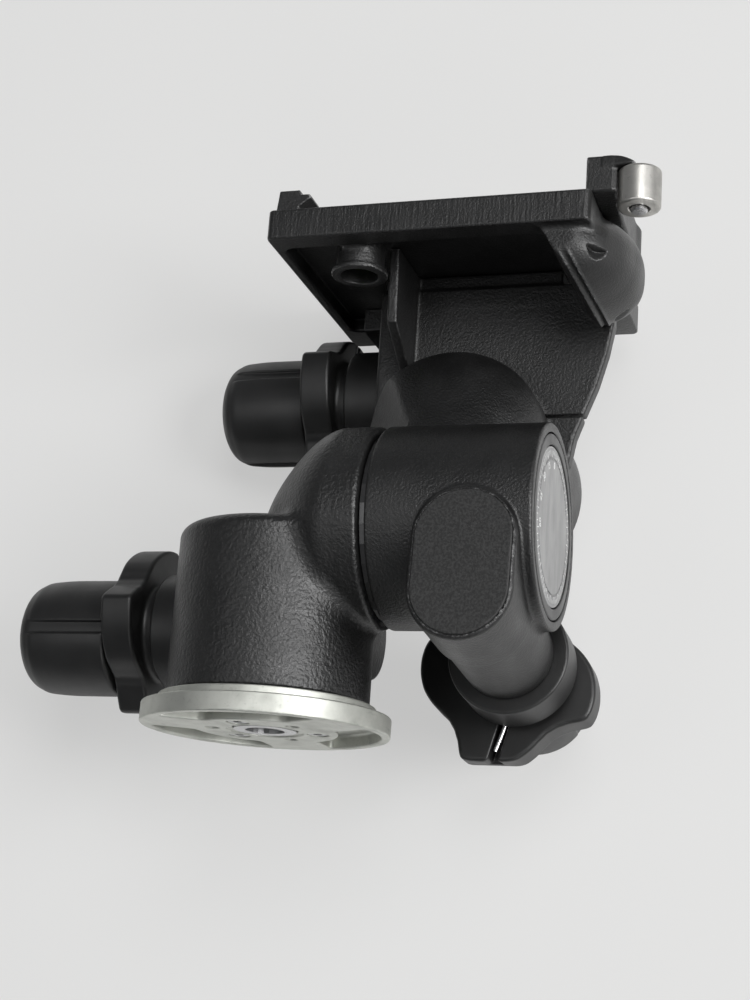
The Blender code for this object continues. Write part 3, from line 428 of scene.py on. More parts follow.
class Finish(Nodes):
    def __init__(self, name):
        self.material = bpy.data.materials.get(name) or bpy.data.materials.new(name)
        self.material.use_nodes = True
        super().__init__(self.material.node_tree)
        self.nodes.clear()
        self.shader = self.node("ShaderNodeBsdfPrincipled")
        output = self.node("ShaderNodeOutputMaterial")
        self.link(self.shader.outputs[0], output.inputs[0])
        self.place = self.wired("ShaderNodeTexCoord", output="Object")

    def stretched(self, scale, turn=(0, 0, 0)):
        return self.wired("ShaderNodeMapping", {"Vector": self.place, "Scale": scale, "Rotation": turn})

    def noise(self, size, detail=3.0, rough=0.5, place=None):
        return self.wired("ShaderNodeTexNoise", {
            "Vector": place or self.place, "Scale": 1000.0 / size, "Detail": detail, "Roughness": rough})

    def ramp(self, value, start, end, low=0.0, high=1.0):
        return self.wired("ShaderNodeMapRange", {
            "Value": value, "From Min": start, "From Max": end, "To Min": low, "To Max": high})

    def mixed(self, share, a, b):
        return self.wired("ShaderNodeMix", {0: share, 6: a, 7: b}, 2, data_type="RGBA")

    def coated(self, colour, rough, *layers, **values):
        # Each layer of bumps is its height, strength and depth
        before = {}
        for height, strength, depth in layers:
            sockets = {"Strength": strength, "Distance": depth * mm, "Height": height, **before}
            before = {"Normal": self.wired("ShaderNodeBump", sockets)}
        self.fill(self.shader, {"Base Color": colour, "Roughness": rough, **before})
        self.fill(self.shader, {key.replace("_", " "): value for key, value in values.items()})
        return self.material


def grey(value, tint=(1, 1, 1)):
    return (*(value * part for part in tint), 1.0)


def paintFinish(name, dark=0.005, grain=0.6, rough=0.42, depth=0.07, wear=0.6, streaks=False):
    tree = Finish(name)
    fine = tree.noise(grain, 2.5, 0.55)
    broad = tree.noise(9.0, 3.0, 0.5)
    lift = tree.ramp(fine, 0.35, 0.7)
    # Bare metal shows where an edge has rubbed through
    edge = tree.wired("ShaderNodeAttribute", output="Fac", attribute_name="edge")
    patches = tree.ramp(tree.noise(1.6, 4.0, 0.7), 0.50, 0.60)
    rubbed = tree.math("MULTIPLY", tree.ramp(edge, 1.1, 2.2), patches)
    rubbed = tree.math("MULTIPLY", rubbed, wear)
    dusty = tree.math("MULTIPLY", tree.ramp(broad, 0.35, 0.75), tree.ramp(fine, 0.45, 0.75))
    colour = tree.mixed(dusty, grey(dark), grey(dark * 2.2, (1, 1, 1.02)))
    colour = tree.mixed(rubbed, colour, grey(0.32))
    layers = [(lift, 0.9, depth), (tree.noise(grain * 4.0, 2.0, 0.5), 0.35, depth)]
    if streaks:
        # Upright file marks, on the plate's front face alone
        depthWise = tree.wired("ShaderNodeSeparateXYZ", {0: tree.place}, "Y")
        front = tree.ramp(depthWise, -6.2 * mm, -6.7 * mm)
        marks = tree.noise(0.9, 3.0, 0.6, tree.stretched((1, 1, 0.10)))
        layers.append((tree.math("MULTIPLY", marks, front), 0.9, 0.22))
    rough = tree.ramp(broad, 0.3, 0.7, rough - 0.05, rough + 0.07)
    return tree.coated(colour, rough, *layers, Specular_IOR_Level=0.6)


def plasticFinish(name, dark=0.008, rough=0.42):
    tree = Finish(name)
    fine = tree.noise(0.35, 2.0, 0.5)
    broad = tree.noise(14.0, 4.0, 0.6)
    smear = tree.noise(5.0, 4.0, 0.65, tree.stretched((1, 1, 0.3)))
    # Painted highlight: every convex edge is mixed towards a lighter grey, as if light caught it
    edge = tree.wired("ShaderNodeAttribute", output="Fac", attribute_name="edge")
    edge = tree.ramp(edge, 0.9, 2.4, 0.0, 0.35)
    colour = tree.mixed(tree.ramp(smear, 0.4, 0.75), grey(dark), grey(dark * 1.5))
    colour = tree.mixed(edge, colour, grey(dark * 4.0))
    rough = tree.ramp(broad, 0.3, 0.7, rough - 0.05, rough + 0.08)
    return tree.coated(colour, rough, (fine, 0.35, 0.012), (broad, 0.3, 0.08))


def metalFinish(name, tone=0.62, rough=0.36, tint=(1.0, 0.985, 0.96), scuffs=0.6):
    tree = Finish(name)
    broad = tree.noise(11.0, 4.0, 0.6)
    fine = tree.noise(0.5, 3.0, 0.6)
    scratch = tree.noise(1.2, 3.0, 0.7, tree.stretched((1, 0.08, 1), (0.3, 0.2, 0.7)))
    marks = tree.ramp(scratch, 0.60, 0.68)
    stain = tree.math("MULTIPLY", tree.ramp(broad, 0.45, 0.7), scuffs)
    colour = tree.mixed(stain, grey(tone, tint), grey(tone * 0.62, tint))
    colour = tree.mixed(tree.math("MULTIPLY", marks, 0.35 * scuffs), colour, grey(tone * 0.35, tint))
    rough = tree.ramp(broad, 0.3, 0.75, rough - 0.06, rough + 0.12)
    return tree.coated(colour, rough, (fine, 0.25, 0.012), (marks, 0.3, 0.03), Metallic=1.0)


def insertFinish(name):
    tree = Finish(name)
    grain = tree.noise(0.55, 2.0, 0.6)
    fine = tree.noise(0.25, 3.0, 0.6)
    broad = tree.noise(8.0, 3.0, 0.5)
    colour = tree.mixed(tree.ramp(grain, 0.4, 0.62), grey(0.006), grey(0.024))
    rough = tree.ramp(broad, 0.3, 0.7, 0.52, 0.66)
    return tree.coated(colour, rough, (grain, 0.8, 0.09), (fine, 0.5, 0.03))


finishes = {
    "paint": paintFinish("paint"),
    "paintSmooth": paintFinish("paintSmooth", 0.005, 0.85, 0.41, 0.10, 0.4),
    "paintPlate": paintFinish("paintPlate", 0.006, 0.55, 0.42, 0.05, 1.0, True),
    "paintJaw": paintFinish("paintJaw", 0.010, 0.7, 0.4, 0.05, 1.0),
    "plastic": plasticFinish("plastic"),
    "capPlastic": plasticFinish("capPlastic", 0.008, 0.36),
    "insert": insertFinish("insert"),
    "aluminium": metalFinish("aluminium", 0.55, 0.52, (0.985, 1.0, 0.93)),
    "barrel": metalFinish("barrel", 0.55, 0.4, (1.0, 0.98, 0.93), 0.9),
    "darkSteel": metalFinish("darkSteel", 0.10, 0.35, (1, 1, 1.01), 0.6),
    "steel": metalFinish("steelPart", 0.55, 0.3, (1, 1, 1.01), 0.4),
    "bronze": metalFinish("bronzePart", 0.5, 0.34, (1, 0.74, 0.4), 0.5),
    "dial": plasticFinish("dial", 0.17, 0.42),
    "dialInk": plasticFinish("dialInk", 0.62, 0.5),
}


def liquidFinish(name):
    tree = Finish(name)
    cloud = tree.mixed(tree.noise(4.0, 2.0, 0.5), (0.45, 0.7, 0.12, 1), (0.6, 0.82, 0.2, 1))
    return tree.coated(cloud, 0.06, Transmission_Weight=0.35)


finishes["liquid"] = liquidFinish("liquid")

print("stage: carried parts")
carried = {
    "steel": ["stud_bush", "lock_button", "lever_pivot_pin"],
    "bronze": [],
    "darkSteel": [],
    "liquid": ["level_vial"],
}
for kind, count in (("base", 3), ("platform", 4)):
    carried["steel"] += [f"{kind}_screw_{k + 1}" for k in range(count)]
for drive in driveFrames:
    carried["steel"] += [drive + "_eccentric_bush", drive + "_worm_shaft"]
    carried["bronze"] += [drive + "_worm_wheel", drive + "_bearing_bush"]
for axis in ("tilt", "side"):
    carried["steel"] += [axis + "_spindle", axis + "_spindle_nut"]
    carried["bronze"].append(axis + "_friction_ring")
    carried["darkSteel"].append(axis + "_thrust_ring")
for finish, names in carried.items():
    for name in names:
        nodes[name].data.materials.clear()
        nodes[name].data.materials.append(finishes[finish])


def wire(name, body, finish, points, radius, matrix, replaced):
    # A round wire through points in the matrix's frame, in millimetres
    curve = bpy.data.curves.new(name, "CURVE")
    curve.dimensions = "3D"
    curve.bevel_depth = radius * mm
    curve.bevel_resolution = 4
    curve.resolution_u = 6
    curve.use_fill_caps = True
    spline = curve.splines.new("NURBS")
    spline.points.add(len(points) - 1)
    for spot, point in zip(spline.points, points):
        spot.co = (*((matrix @ Vector(point)) * mm), 1)
    spline.order_u = 3
    spline.use_endpoint_u = True
    guide = newObject(name + "Guide", curve)
    seen = guide.evaluated_get(bpy.context.evaluated_depsgraph_get())
    mesh = bpy.data.meshes.new_from_object(seen)
    bpy.data.objects.remove(guide)
    mesh.materials.clear()
    mesh.materials.append(finishes[finish])
    mesh.shade_smooth()
    made = newObject(name, mesh)
    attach(made, body)
    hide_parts(replaced)
    return made


def coil(radius, low, high, turns, start=0.0, steps=16):
    points = []
    for i in range(turns * steps + 1):
        a = start + 2 * math.pi * i / steps
        height = low + (high - low) * i / (turns * steps)
        points.append((radius * math.cos(a), radius * math.sin(a), height))
    return points


print("stage: base")
basePlate = {
    "radius": 30.0,
    "edge": 4.7,
    "topRadius": 26.2,
    "height": 6.9,
    "rim": 2.2,
    "pocket": 3.4,
    "hub": 17.5,
    "land": 15.0,
    "boss": 11.2,
    "bossHigh": 23.106,
    "post": 8.0,
    "postHigh": 41.3,
    "bush": 7.9,
    "bushDeep": 15.9,
    "screwCircle": 12.6,
    "screw": 1.8,
    "screwHead": 2.7,
    "hole": 1.7,
    "step": 0.38,
}


def makeBase(size):
    pocketRing = ringShape(size["radius"] - size["rim"], size["hub"], -2, size["pocket"], 0.8)

    def spokes(p):
        angle = np.arctan2(p[:, 1], p[:, 0]) - math.radians(-30)
        third = 2 * math.pi / 3
        away = abs((angle + third / 2) % third - third / 2)
        return np.hypot(p[:, 0], p[:, 1]) * np.sin(np.minimum(away, 1.57)) - size["land"] / 2

    def pockets(p):
        return -melt(-pocketRing(p), spokes(p), 1.6)

    steps = [
        drum("add", size["radius"], 0, size["edge"], 0.35, 0),
        drum("add", size["topRadius"], 1, size["height"], 0.3, 0.4),
        drum("add", size["boss"], 3, size["bossHigh"], 0.3, 0.4),
        drum("add", size["post"], 5, size["postHigh"], 0.3, 0.4),
        ("cut", pockets, 0.5),
        drum("cut", size["bush"], -3, size["bushDeep"], 0.2, 0.4),
        drum("cut", size["bush"] + 1.3, -3, 0.5, 0.2, 0.3),
    ]
    for k in range(6):
        a = math.radians(60 * k + 20)
        at = Matrix.Translation((size["screwCircle"] * math.cos(a), size["screwCircle"] * math.sin(a), 0))
        if k % 2:
            steps.append(drum("cut", size["hole"], -3, 4, 0.2, 0.3, at))
        else:
            steps.append(drum("cut", size["screwHead"], -3, 1.8, 0.2, 0.3, at))
            steps.append(drum("cut", size["screw"], 0, 5, 0.2, 0.2, at))
    cast("basePlate", "base", "aluminium", casting(*steps), size["step"],
         "base_plate")


makeBase(basePlate)

print("stage: pan housing")
elbow = {
    "depths": (0.0, 6.0, 10.3, 14.2, 17.9, 21.5, 26.2, 31.1),
    "radii": (24.6, 24.6, 24.4, 22.6, 19.7, 16.1, 11.6, 6.0),
    "panSinks": (0, 0, 0, 0, 0, 0, 2.0, 7.0),
    "sideSinks": (0, 0, 0, 1.5, 4.0, 7.5, 11.5, 15.0),
}


def elbowShape(face, sinks, down, edge=1.2):
    def field(p):
        depth = face - p[:, 2]
        radius = smoothCurve(depth, elbow["depths"], elbow["radii"])
        sink = smoothCurve(depth, elbow["depths"], sinks)
        out = np.hypot(p[:, 0] - down[0] * sink, p[:, 1] - down[1] * sink) - radius
        ends = np.maximum(-depth, depth - elbow["depths"][-1])
        return -melt(-out * 0.7, -ends, edge)

    return field


panHousing = {
    "radius": 24.5,
    "low": 7.2,
    "high": 48.0,
    "topRound": 3.0,
    "fillet": 2.6,
    "tube": 11.8,
    "tubeBlind": 18.0,
    "tubeEnd": 24.6,
    "bore": 9.6,
    "web": 32.206,
    "bearing": 11.0,
    "spindle": 7.3,
    "spindleRoot": 14.5,
    "step": 0.5,
}


def makePanHousing(size):
    tube = tubeFrame("pan")
    face = places["tiltFace"]
    field = casting(
        drum("add", size["radius"], -9, size["high"], size["topRound"], 0),
        ("keep", sideOf((0, 0, size["low"]), (0, 0, -1)), 0.5),
        ("add", placed(alongX, elbowShape(face, elbow["panSinks"], (0, -1))), size["fillet"]),
        drum("add", size["tube"], -size["tubeBlind"], size["tubeEnd"], 1.2, 2.5, tube),
        drum("cut", places["wheelRoom"], -5, size["web"], 0.5, 0.4),
        drum("cut", size["bearing"], 0, 41.9, 0.3, 0.4),
        drum("cut", size["spindle"], face - size["spindleRoot"], face + 5, 0.3, 0.4, alongX),
        drum("cut", size["bore"], -15, size["tubeEnd"] + 5, 0.4, 0.4, tube),
    )
    cast("panHousing", "pan_housing_group", "paintSmooth", field, size["step"],
         "pan_housing")


makePanHousing(panHousing)

print("stage: tilt housing")
tiltHousing = {
    "radius": 24.6,
    "tube": 11.55,
    "tubeEnd": 24.6,
    "bore": 9.6,
    "padPlane": 25.5,
    "padRise": 11.7,
    "padRadius": 12.3,
    "padEdge": 1.3,
    "inset": 1.3,
    "seat": 0.8,
    "clear": 25.5,
    "fillet": 1.2,
    "cap": 22.3,
    "capRoom": 3.7,
    "bush": 10.3,
    "spindle": 7.3,
    "spindleRoot": 14.5,
    "wheelWidth": 7.0,
    "step": 0.42,
    "insertStep": 0.3,
}


def drumRooms(size, low, high, wheelPlane, along):
    # Rooms for the bearing bush, the worm wheel and the end cap
    wheelRoom = wheelPlane - size["wheelWidth"] / 2 - 0.8
    return [
        drum("cut", size["bush"], low - 5, wheelRoom + 1, 0.2, 0.3, along),
        drum("cut", places["wheelRoom"], wheelRoom, high + 5, 0.3, 0.3, along),
        drum("cut", size["cap"], high - size["capRoom"], high + 5, 0.2, 0.3, along),
    ]


def makeTiltHousing(size):
    tube = tubeFrame("tilt")
    face = places["sideFace"]
    low = places["tiltFace"] + places["gap"]
    high = low + places["drumLength"]
    wheelPlane = places["tiltTubeX"] - places["wormOffset"][1]
    facet = [(low, -20), (low, 4), (places["sideX"] - 25.5, 27), (-20, 27), (-20, -20)]
    shoulder = casting(
        ("add", placed(alongY, elbowShape(face, elbow["sideSinks"], (-1, 0))), 0),
        drum("cut", size["clear"], -40, low, 0.2, 1.0, alongX),
        ("cut", slabShape(facet, 30, 120, 0.2), 1.0),
    )
    rise = (size["padRise"], 0)
    field = casting(
        drum("add", size["radius"], low, high, 0.7, 0, alongX),
        ("add", shoulder, size["fillet"]),
        drum("add", size["tube"], -8, size["tubeEnd"], 0.5, 1.6, tube),
        ("add", placed(tube, padShape(size, rise)), 1.0),
        ("cut", placed(tube, slotShape(rise, size["padRadius"] - size["inset"] + 0.3,
                                       -size["padPlane"] - 5, -size["padPlane"] + size["seat"], 0.2)), 0.3),
        *drumRooms(size, low, high, wheelPlane, alongX),
        drum("cut", size["bore"], -15, size["tubeEnd"] + 5, 0.3, 0.3, tube),
        drum("cut", size["spindle"], face - size["spindleRoot"], face + 5, 0.3, 0.3, alongY),
    )
    cast("tiltHousing", "tilt_housing_group", "paint", field, size["step"],
         "tilt_housing")
    # The insert fills its seat, and stands a little under the rim
    radius = size["padRadius"] - size["inset"] + 0.35
    low, high = -size["padPlane"] - 0.3, -size["padPlane"] + size["seat"] - 0.15
    insert = slotShape(rise, radius, low, high, 0.4)
    room = (-radius, -radius, low), (size["padRise"] + radius, radius, high)
    cast("padInsert", "tilt_housing_group", "insert", insert, size["insertStep"],
         "tilt_pad_insert", room, tube)


def padShape(size, rise):
    return slotShape(rise, size["padRadius"], -size["padPlane"], -4, size["padEdge"])


makeTiltHousing(tiltHousing)

print("stage: side arm")
sideArm = {
    "radius": 24.8,
    "left": 11.4,
    "right": 75.0,
    "top": 124.7,
    "outline": [(36.0, 65.5), (60.0, 70.0), (64.5, 75.0), (65.8, 82.0), (68.2, 88.6),
                (71.1, 96.0), (73.6, 105.0), (75.0, 112.6)],
    "plate": 4.8,
    "block": [(36.0, 65.5), (50.0, 77.5), (54.0, 88.0), (56.5, 95.0), (61.5, 110.0)],
    "blockTop": 124.3,
    "tab": ((3.5, 40.0, 117.6), (14.4, 66.0, 124.5)),
    "split": ((56.0, 29.0, 87.6), (80.0, 40.0, 88.2)),
    "edge": 0.8,
    "gussetX": 19.0,
    "gussetWide": 2.7,
    "ceiling": 128.7,
    "inRecessRight": 61.0,
    "recessBack": 58.0,
    "bush": 10.3,
    "cap": 22.3,
    "capRoom": 3.7,
    "bore": 9.6,
    "wheelWidth": 7.0,
    "screws": ((18.0, 37.0), (57.0, 37.0), (18.0, 51.0), (57.0, 51.0)),
    "screwHole": 3.3,
    "step": 0.55,
}


def makeSideArm(size):
    front = places["sideFace"] + places["gap"]
    back = front + places["drumLength"]
    wheelPlane = places["sideTubeY"] + places["wormOffset"][1]
    tube = tubeFrame("side")
    outline = [(size["left"], places["sideHeight"])] + size["outline"]
    outline += [(size["right"], size["top"]), (size["left"], size["top"])]
    left = size["left"] + 0.3
    block = [(left, places["sideHeight"])] + size["block"]
    block += [(size["block"][-1][0], size["blockTop"]), (left, size["blockTop"])]
    gusset = [
        (front + 3, 98.0), (front + 3, size["ceiling"]), (10.8, size["ceiling"]),
        (12.5, 108.7), (front, 98.0),
    ]
    across = frameAt((size["gussetX"], 0, 0), (0, 1, 0), (0, 0, 1))
    inRecess = blockShape(
        (size["left"] + 0.6, front + 0.6, size["top"] - 6),
        (size["inRecessRight"], size["recessBack"] - 1.0, size["ceiling"]), 0.5,
    )
    steps = [
        drum("add", size["radius"], front, back, 0.7, 0, alongY),
        ("add", placed(upright, slabShape(outline, -front - size["plate"], -front, size["edge"])), 1.0),
        ("add", placed(upright, slabShape(block, -back + 2, -front - 2, size["edge"])), 1.6),
        ("add", blockShape(*size["tab"], 0.6), 0.8),
        ("cut", blockShape(*size["split"], 0.2), 0.3),
        ("add", inRecess, 1.0),
        ("add", placed(across, slabShape(gusset, 0, size["gussetWide"], 0.5)), 1.0),
        *drumRooms(size, front, back, wheelPlane, alongY),
        drum("cut", size["bore"], -15, 30, 0.3, 0.3, tube),
    ]
    for x, y in size["screws"]:
        at = Matrix.Translation((x, y, 0))
        steps.append(drum("cut", size["screwHole"], 112, 135, 0.2, 0.2, at))
    cast("sideArm", "side_arm_group", "paint", casting(*steps), size["step"],
         "side_arm")


makeSideArm(sideArm)

print("stage: camera platform")
cameraPlatform = {
    "low": 125.0,
    "high": 133.3,
    "left": -8.7,
    "right": 75.0,
    "front": -7.0,
    "back": 70.0,
    "corner": 1.7,
    "edge": 0.65,
    "ceiling": 129.0,
    "recess": ((-6.0, 0.0), (65.0, 58.0)),
    "recessCorner": 2.5,
    "level": (13.0, 6.0),
    "levelLow": 119.0,
    "levelBoss": 6.2,
    "levelLip": 7.3,
    "levelHole": 4.85,
    "screwHead": 5.5,
    "screwSeat": 131.0,
    "step": 0.5,
}
lockHousing = {
    "face": ((62.3, -1.0, 125.0), (0.8726, -0.0325, 0.4876)),
    "x": 66.5,
    "z": 122.0,
    "halfWide": 18.0,
    "halfHigh": 12.8,
    "front": ((-4.5, -1.5, 4.0, 10.0, 16.0), (0.30, 0.52, 0.74, 0.84, 0.80)),
    "back": ((1.0, 6.0, 13.0, 20.0, 26.0, 30.2), (0.55, 0.78, 0.93, 0.97, 0.93, 0.80)),
    "ridges": (0.8, 2.8),
    "ridgeHigh": 0.55,
    "ridgeWide": 0.42,
    "marks": (
        ((76.9, -1.6, 122.6), (0.15, -0.3, -0.94), 2.0),
        ((79.6, 25.5, 112.9), (0.1, -0.2, -0.97), 0.6),
    ),
    "markRadius": 3.6,
}


def lockShape(size, part):
    stations, sizes = size[part]
    leaning = sideOf(*size["face"])

    def field(p):
        share = smoothCurve(p[:, 1], stations, sizes)
        x = abs(p[:, 0] - size["x"]) / (size["halfWide"] * share)
        z = abs(p[:, 2] - size["z"]) / (size["halfHigh"] * share)
        swell = ((x**2.5 + z**2.5) ** 0.4 - 1) * size["halfHigh"] * share
        inward = leaning(p)
        for ridge in size["ridges"]:
            swell -= size["ridgeHigh"] * np.exp(-(((inward - ridge) / size["ridgeWide"]) ** 2))
        ends = np.maximum(stations[0] - p[:, 1], p[:, 1] - stations[-1])
        ends = np.maximum(ends, -inward)
        return -melt(-swell * 0.75, -ends, 1.2)

    return field


def makePlatform(size):
    low, high = size["low"], size["high"]
    corner, recessCorner = size["corner"], size["recessCorner"]
    outline = rectangle((size["left"], size["front"]), (size["right"], size["back"]), corner)
    inner = rectangle(*size["recess"], recessCorner)
    recessRight = size["recess"][1][0]
    level = Matrix.Translation((*size["level"], 0))
    armFront = places["sideFace"] + places["gap"] - 0.4
    armBack = armFront + places["drumLength"] + 0.8
    steps = [
        ("add", slabShape(outline, low, high, size["edge"], corner), 0),
        ("add", lockShape(lockHousing, "front"), 2.0),
        ("add", lockShape(lockHousing, "back"), 0.9),
        ("cut", sideOf((0, 0, high), (0, 0, -1)), 0.5),
        ("cut", slabShape(inner, 90, size["ceiling"], 0.4, recessCorner), 0.8),
        ("cut", blockShape((recessRight - 3, armFront, 85), (size["right"] + 0.4, armBack, low), 0.3), 0.4),
        drum("add", size["levelBoss"], size["levelLow"], 130, 0.4, 1.6, level),
        drum("add", size["levelLip"], size["levelLow"], size["levelLow"] + 1.4, 0.4, 0.5, level),
        drum("cut", size["levelHole"], 110, 140, 0.3, 0.4, level),
        drum("cut", places["leverPin"], 100, 140, 0.2, 0.3, leverPivot),
    ]
    for spot, outward, start in lockHousing["marks"]:
        # A flat seat milled from below, whose rear wall shows as an arc
        outward = Vector(outward)
        across = outward.orthogonal()
        at = frameAt(spot, across, outward.cross(across))
        steps.append(drum("cut", lockHousing["markRadius"], start, 8, 0.1, 0.15, at))
    for x, y in sideArm["screws"]:
        at = Matrix.Translation((x, y, 0))
        steps.append(drum("cut", sideArm["screwHole"], 120, 140, 0.2, 0.2, at))
        steps.append(drum("cut", size["screwHead"], size["screwSeat"], 140, 0.2, 0.3, at))
    cast("cameraPlatform", "side_arm_group", "paintPlate", casting(*steps), size["step"],
         "camera_platform")


makePlatform(cameraPlatform)

print("stage: worm drives")
driveParts = {
    "cupLow": 24.9,
    "cupHigh": 37.0,
    "cupRadius": 15.1,
    "bore": 9.6,
    "bossRadius": 12.4,
    "collarLow": 40.3,
    "collarHigh": 48.8,
    "lobeAngles": (0, 8, 16, 25, 34, 45, 55, 66, 76, 84, 90),
    "lobes": {
        "pan": (22.8, 20.4, 18.4, 17.7, 18.2, 19.3, 20.0, 20.8, 21.6, 22.3, 22.8),
        "tilt": (23.4, 20.2, 18.6, 18.1, 18.8, 20.4, 21.8, 22.8, 23.4, 23.6, 23.4),
        "side": (22.8, 20.4, 18.4, 17.7, 18.2, 19.3, 20.0, 20.8, 21.6, 22.3, 22.8),
    },
    "slitBefore": 12.5,
    "turns": {"pan": -1.0, "tilt": 14.0, "side": 14.0},
    "shifts": {"pan": (-2.0, 0.6), "tilt": (-2.2, -3.2), "side": (-0.3, -2.2)},
    "walls": (((0, 0, -0.8), (0, 0, 1)), ((0, 78.1, 0), (0, -1, 0))),
    "collarEdge": 1.0,
    "slit": 2.6,
    "slitDeep": 5.2,
    "knobLow": 49.2,
    "knobHigh": 75.3,
    "knobRadius": 15.2,
    "knobEdge": 1.0,
    "groove": 0.9,
    "shaft": 3.8,
    "shaftEnd": 66.6,
    "spring": 11.5,
    "springWire": 0.62,
    "springTurns": 3,
    "springLeg": 21.0,
    "step": 0.38,
}


def collarShape(size, drive):
    # Each lobe rises slowly to its corner, and falls away steeply behind it
    spots = np.arange(-45, 135, 0.5)
    stations = [a - 90 for a in size["lobeAngles"][:-1]]
    stations += list(size["lobeAngles"][:-1]) + [a + 90 for a in size["lobeAngles"]]
    lobe = list(size["lobes"][drive])
    radii = lobe[:-1] * 2 + lobe
    shift = size["shifts"][drive]
    curve = np.convolve(np.interp(spots, stations, radii), np.ones(9) / 9, "same")
    slope = np.gradient(curve, np.radians(spots))

    def field(p):
        x, y = p[:, 0] - shift[0], p[:, 1] - shift[1]
        turn = (np.degrees(np.arctan2(y, x)) - 180 - size["slitBefore"]) % 90
        r = np.hypot(x, y)
        steep = np.interp(turn, spots, slope) / np.maximum(r, 8)
        out = (r - np.interp(turn, spots, curve)) / np.sqrt(1 + steep * steep)
        return rounded(out, beyond(p[:, 2], size["collarLow"], size["collarHigh"]), size["collarEdge"])

    return field


def knobShape(size):
    profile = drumShape(size["knobRadius"], size["knobLow"], size["knobHigh"] + 10, size["knobEdge"])

    def bevel(p):
        r = np.hypot(p[:, 0], p[:, 1])
        fromEnd = size["knobHigh"] - p[:, 2]
        limit = smoothCurve(fromEnd, (0, 1.3, 4.0, 8.0, 20.0), (10.4, 12.5, 14.3, 15.2, 17.0))
        return (r - limit) * 0.7

    def grooves(p):
        turn = np.degrees(np.arctan2(p[:, 1], p[:, 0]))
        away = (turn + 60) % 120 - 60
        across = np.hypot(p[:, 0], p[:, 1]) * np.sin(np.radians(away))
        depth = size["knobRadius"] - size["groove"] - np.hypot(p[:, 0], p[:, 1])
        return -melt(-(abs(across) - 1.5), -depth, 0.5)

    return casting(
        ("add", profile, 0),
        ("keep", bevel, 0.8),
        ("keep", sideOf((0, 0, size["knobHigh"]), (0, 0, 1)), 0.6),
        ("cut", grooves, 0.5),
        drum("cut", size["shaft"], 40, size["shaftEnd"], 0.2, 0.3),
    )


def makeDrive(drive, body, size):
    tube = tubeFrame(drive)
    cup = casting(
        drum("add", size["cupRadius"], size["cupLow"], size["cupHigh"], 0.6, 0),
        drum("cut", size["bore"], 0, 50, 0.2, 0.4),
        drum("cut", size["cupRadius"] - 2.0, size["cupLow"] + 2.0, 50, 0.4, 0.4),
    )
    cast(drive + "Ring", body, "plastic", cup, size["step"], drive + "_spring_cup",
         roundRoom(size["cupRadius"], size["cupLow"], size["cupHigh"]), tube)
    turned = tube @ Matrix.Rotation(math.radians(size["turns"][drive]), 4, "Z")
    half = size["slit"] / 2
    # A lobe ends flat where it would leave the CAD model's box
    walls = [("cut", placed(turned.inverted(), sideOf(*wall)), 1.2) for wall in size["walls"]]
    collar = casting(
        ("add", collarShape(size, drive), 0),
        drum("add", size["bossRadius"], size["cupHigh"] + 0.3, size["collarHigh"] - 1, 0.4, 1.5),
        drum("cut", size["bore"], 0, 90, 0.2, 0.4),
        ("cut", blockShape((-40, -half, 30), (-10.3, half, size["collarLow"] + size["slitDeep"]), 0.3), 0.5),
        *walls,
    )
    room = roundRoom(max(size["lobes"][drive]) + 4.0, size["cupHigh"] + 0.3, size["collarHigh"])
    cast(drive + "Collar", drive + "_collar_group", "plastic", collar, size["step"],
         drive + "_collar", room, turned)
    low, high = size["cupLow"] + 3.2, size["cupHigh"] - 1.6
    spring, leg = size["spring"], size["collarLow"]
    points = coil(spring, low, high, size["springTurns"], math.pi)
    points += [(-spring, 0.3, leg - 0.6), (-spring - 0.8, 0.3, leg + 0.4),
               (-spring - 4.5, 0.3, leg + 0.7), (-size["springLeg"], -0.2, leg + 0.9)]
    wire(drive + "ReturnSpring", drive + "_collar_group", "steel", points,
         size["springWire"], turned, drive + "_return_spring")
    room = roundRoom(size["knobRadius"], size["knobLow"], size["knobHigh"])
    cast(drive + "Knob", drive + "_knob_group", "plastic", knobShape(size), size["step"],
         drive + "_knob", room, wormFrame(drive))


for drive, body in (("pan", "pan_housing_group"), ("tilt", "tilt_housing_group"), ("side", "side_arm_group")):
    makeDrive(drive, body, driveParts)

print("stage: end caps")
endCap = {"radius": 22.0, "thick": 3.4, "dial": 19.0, "dialThick": 1.0, "recess": 0.2,
          "groove": 16.2, "step": 0.4}


def makeEndCap(axis, matrix, face, body, size):
    end = face + places["gap"] + places["drumLength"]
    pocket = end - size["dialThick"] - size["recess"] - 0.3
    cap = casting(
        drum("add", size["radius"], end - size["thick"], end, 0.5, 0),
        drum("cut", size["dial"] + 0.3, pocket, end + 5, 0.2, 0.3),
    )
    cast(axis + "Cap", body, "capPlastic", cap, size["step"], axis + "_end_cap",
         roundRoom(size["radius"], end - size["thick"], end), matrix)
    top = end - size["recess"]
    plate = casting(
        drum("add", size["dial"], top - size["dialThick"], top, 0.25, 0),
        ("cut", ringShape(size["groove"] + 0.2, size["groove"] - 0.2, top - 0.25, top + 2, 0.1), 0.1),
    )
    cast(axis + "Dial", body, "dial", plate, size["step"], axis + "_dial",
         roundRoom(size["dial"], top - size["dialThick"], top), matrix)


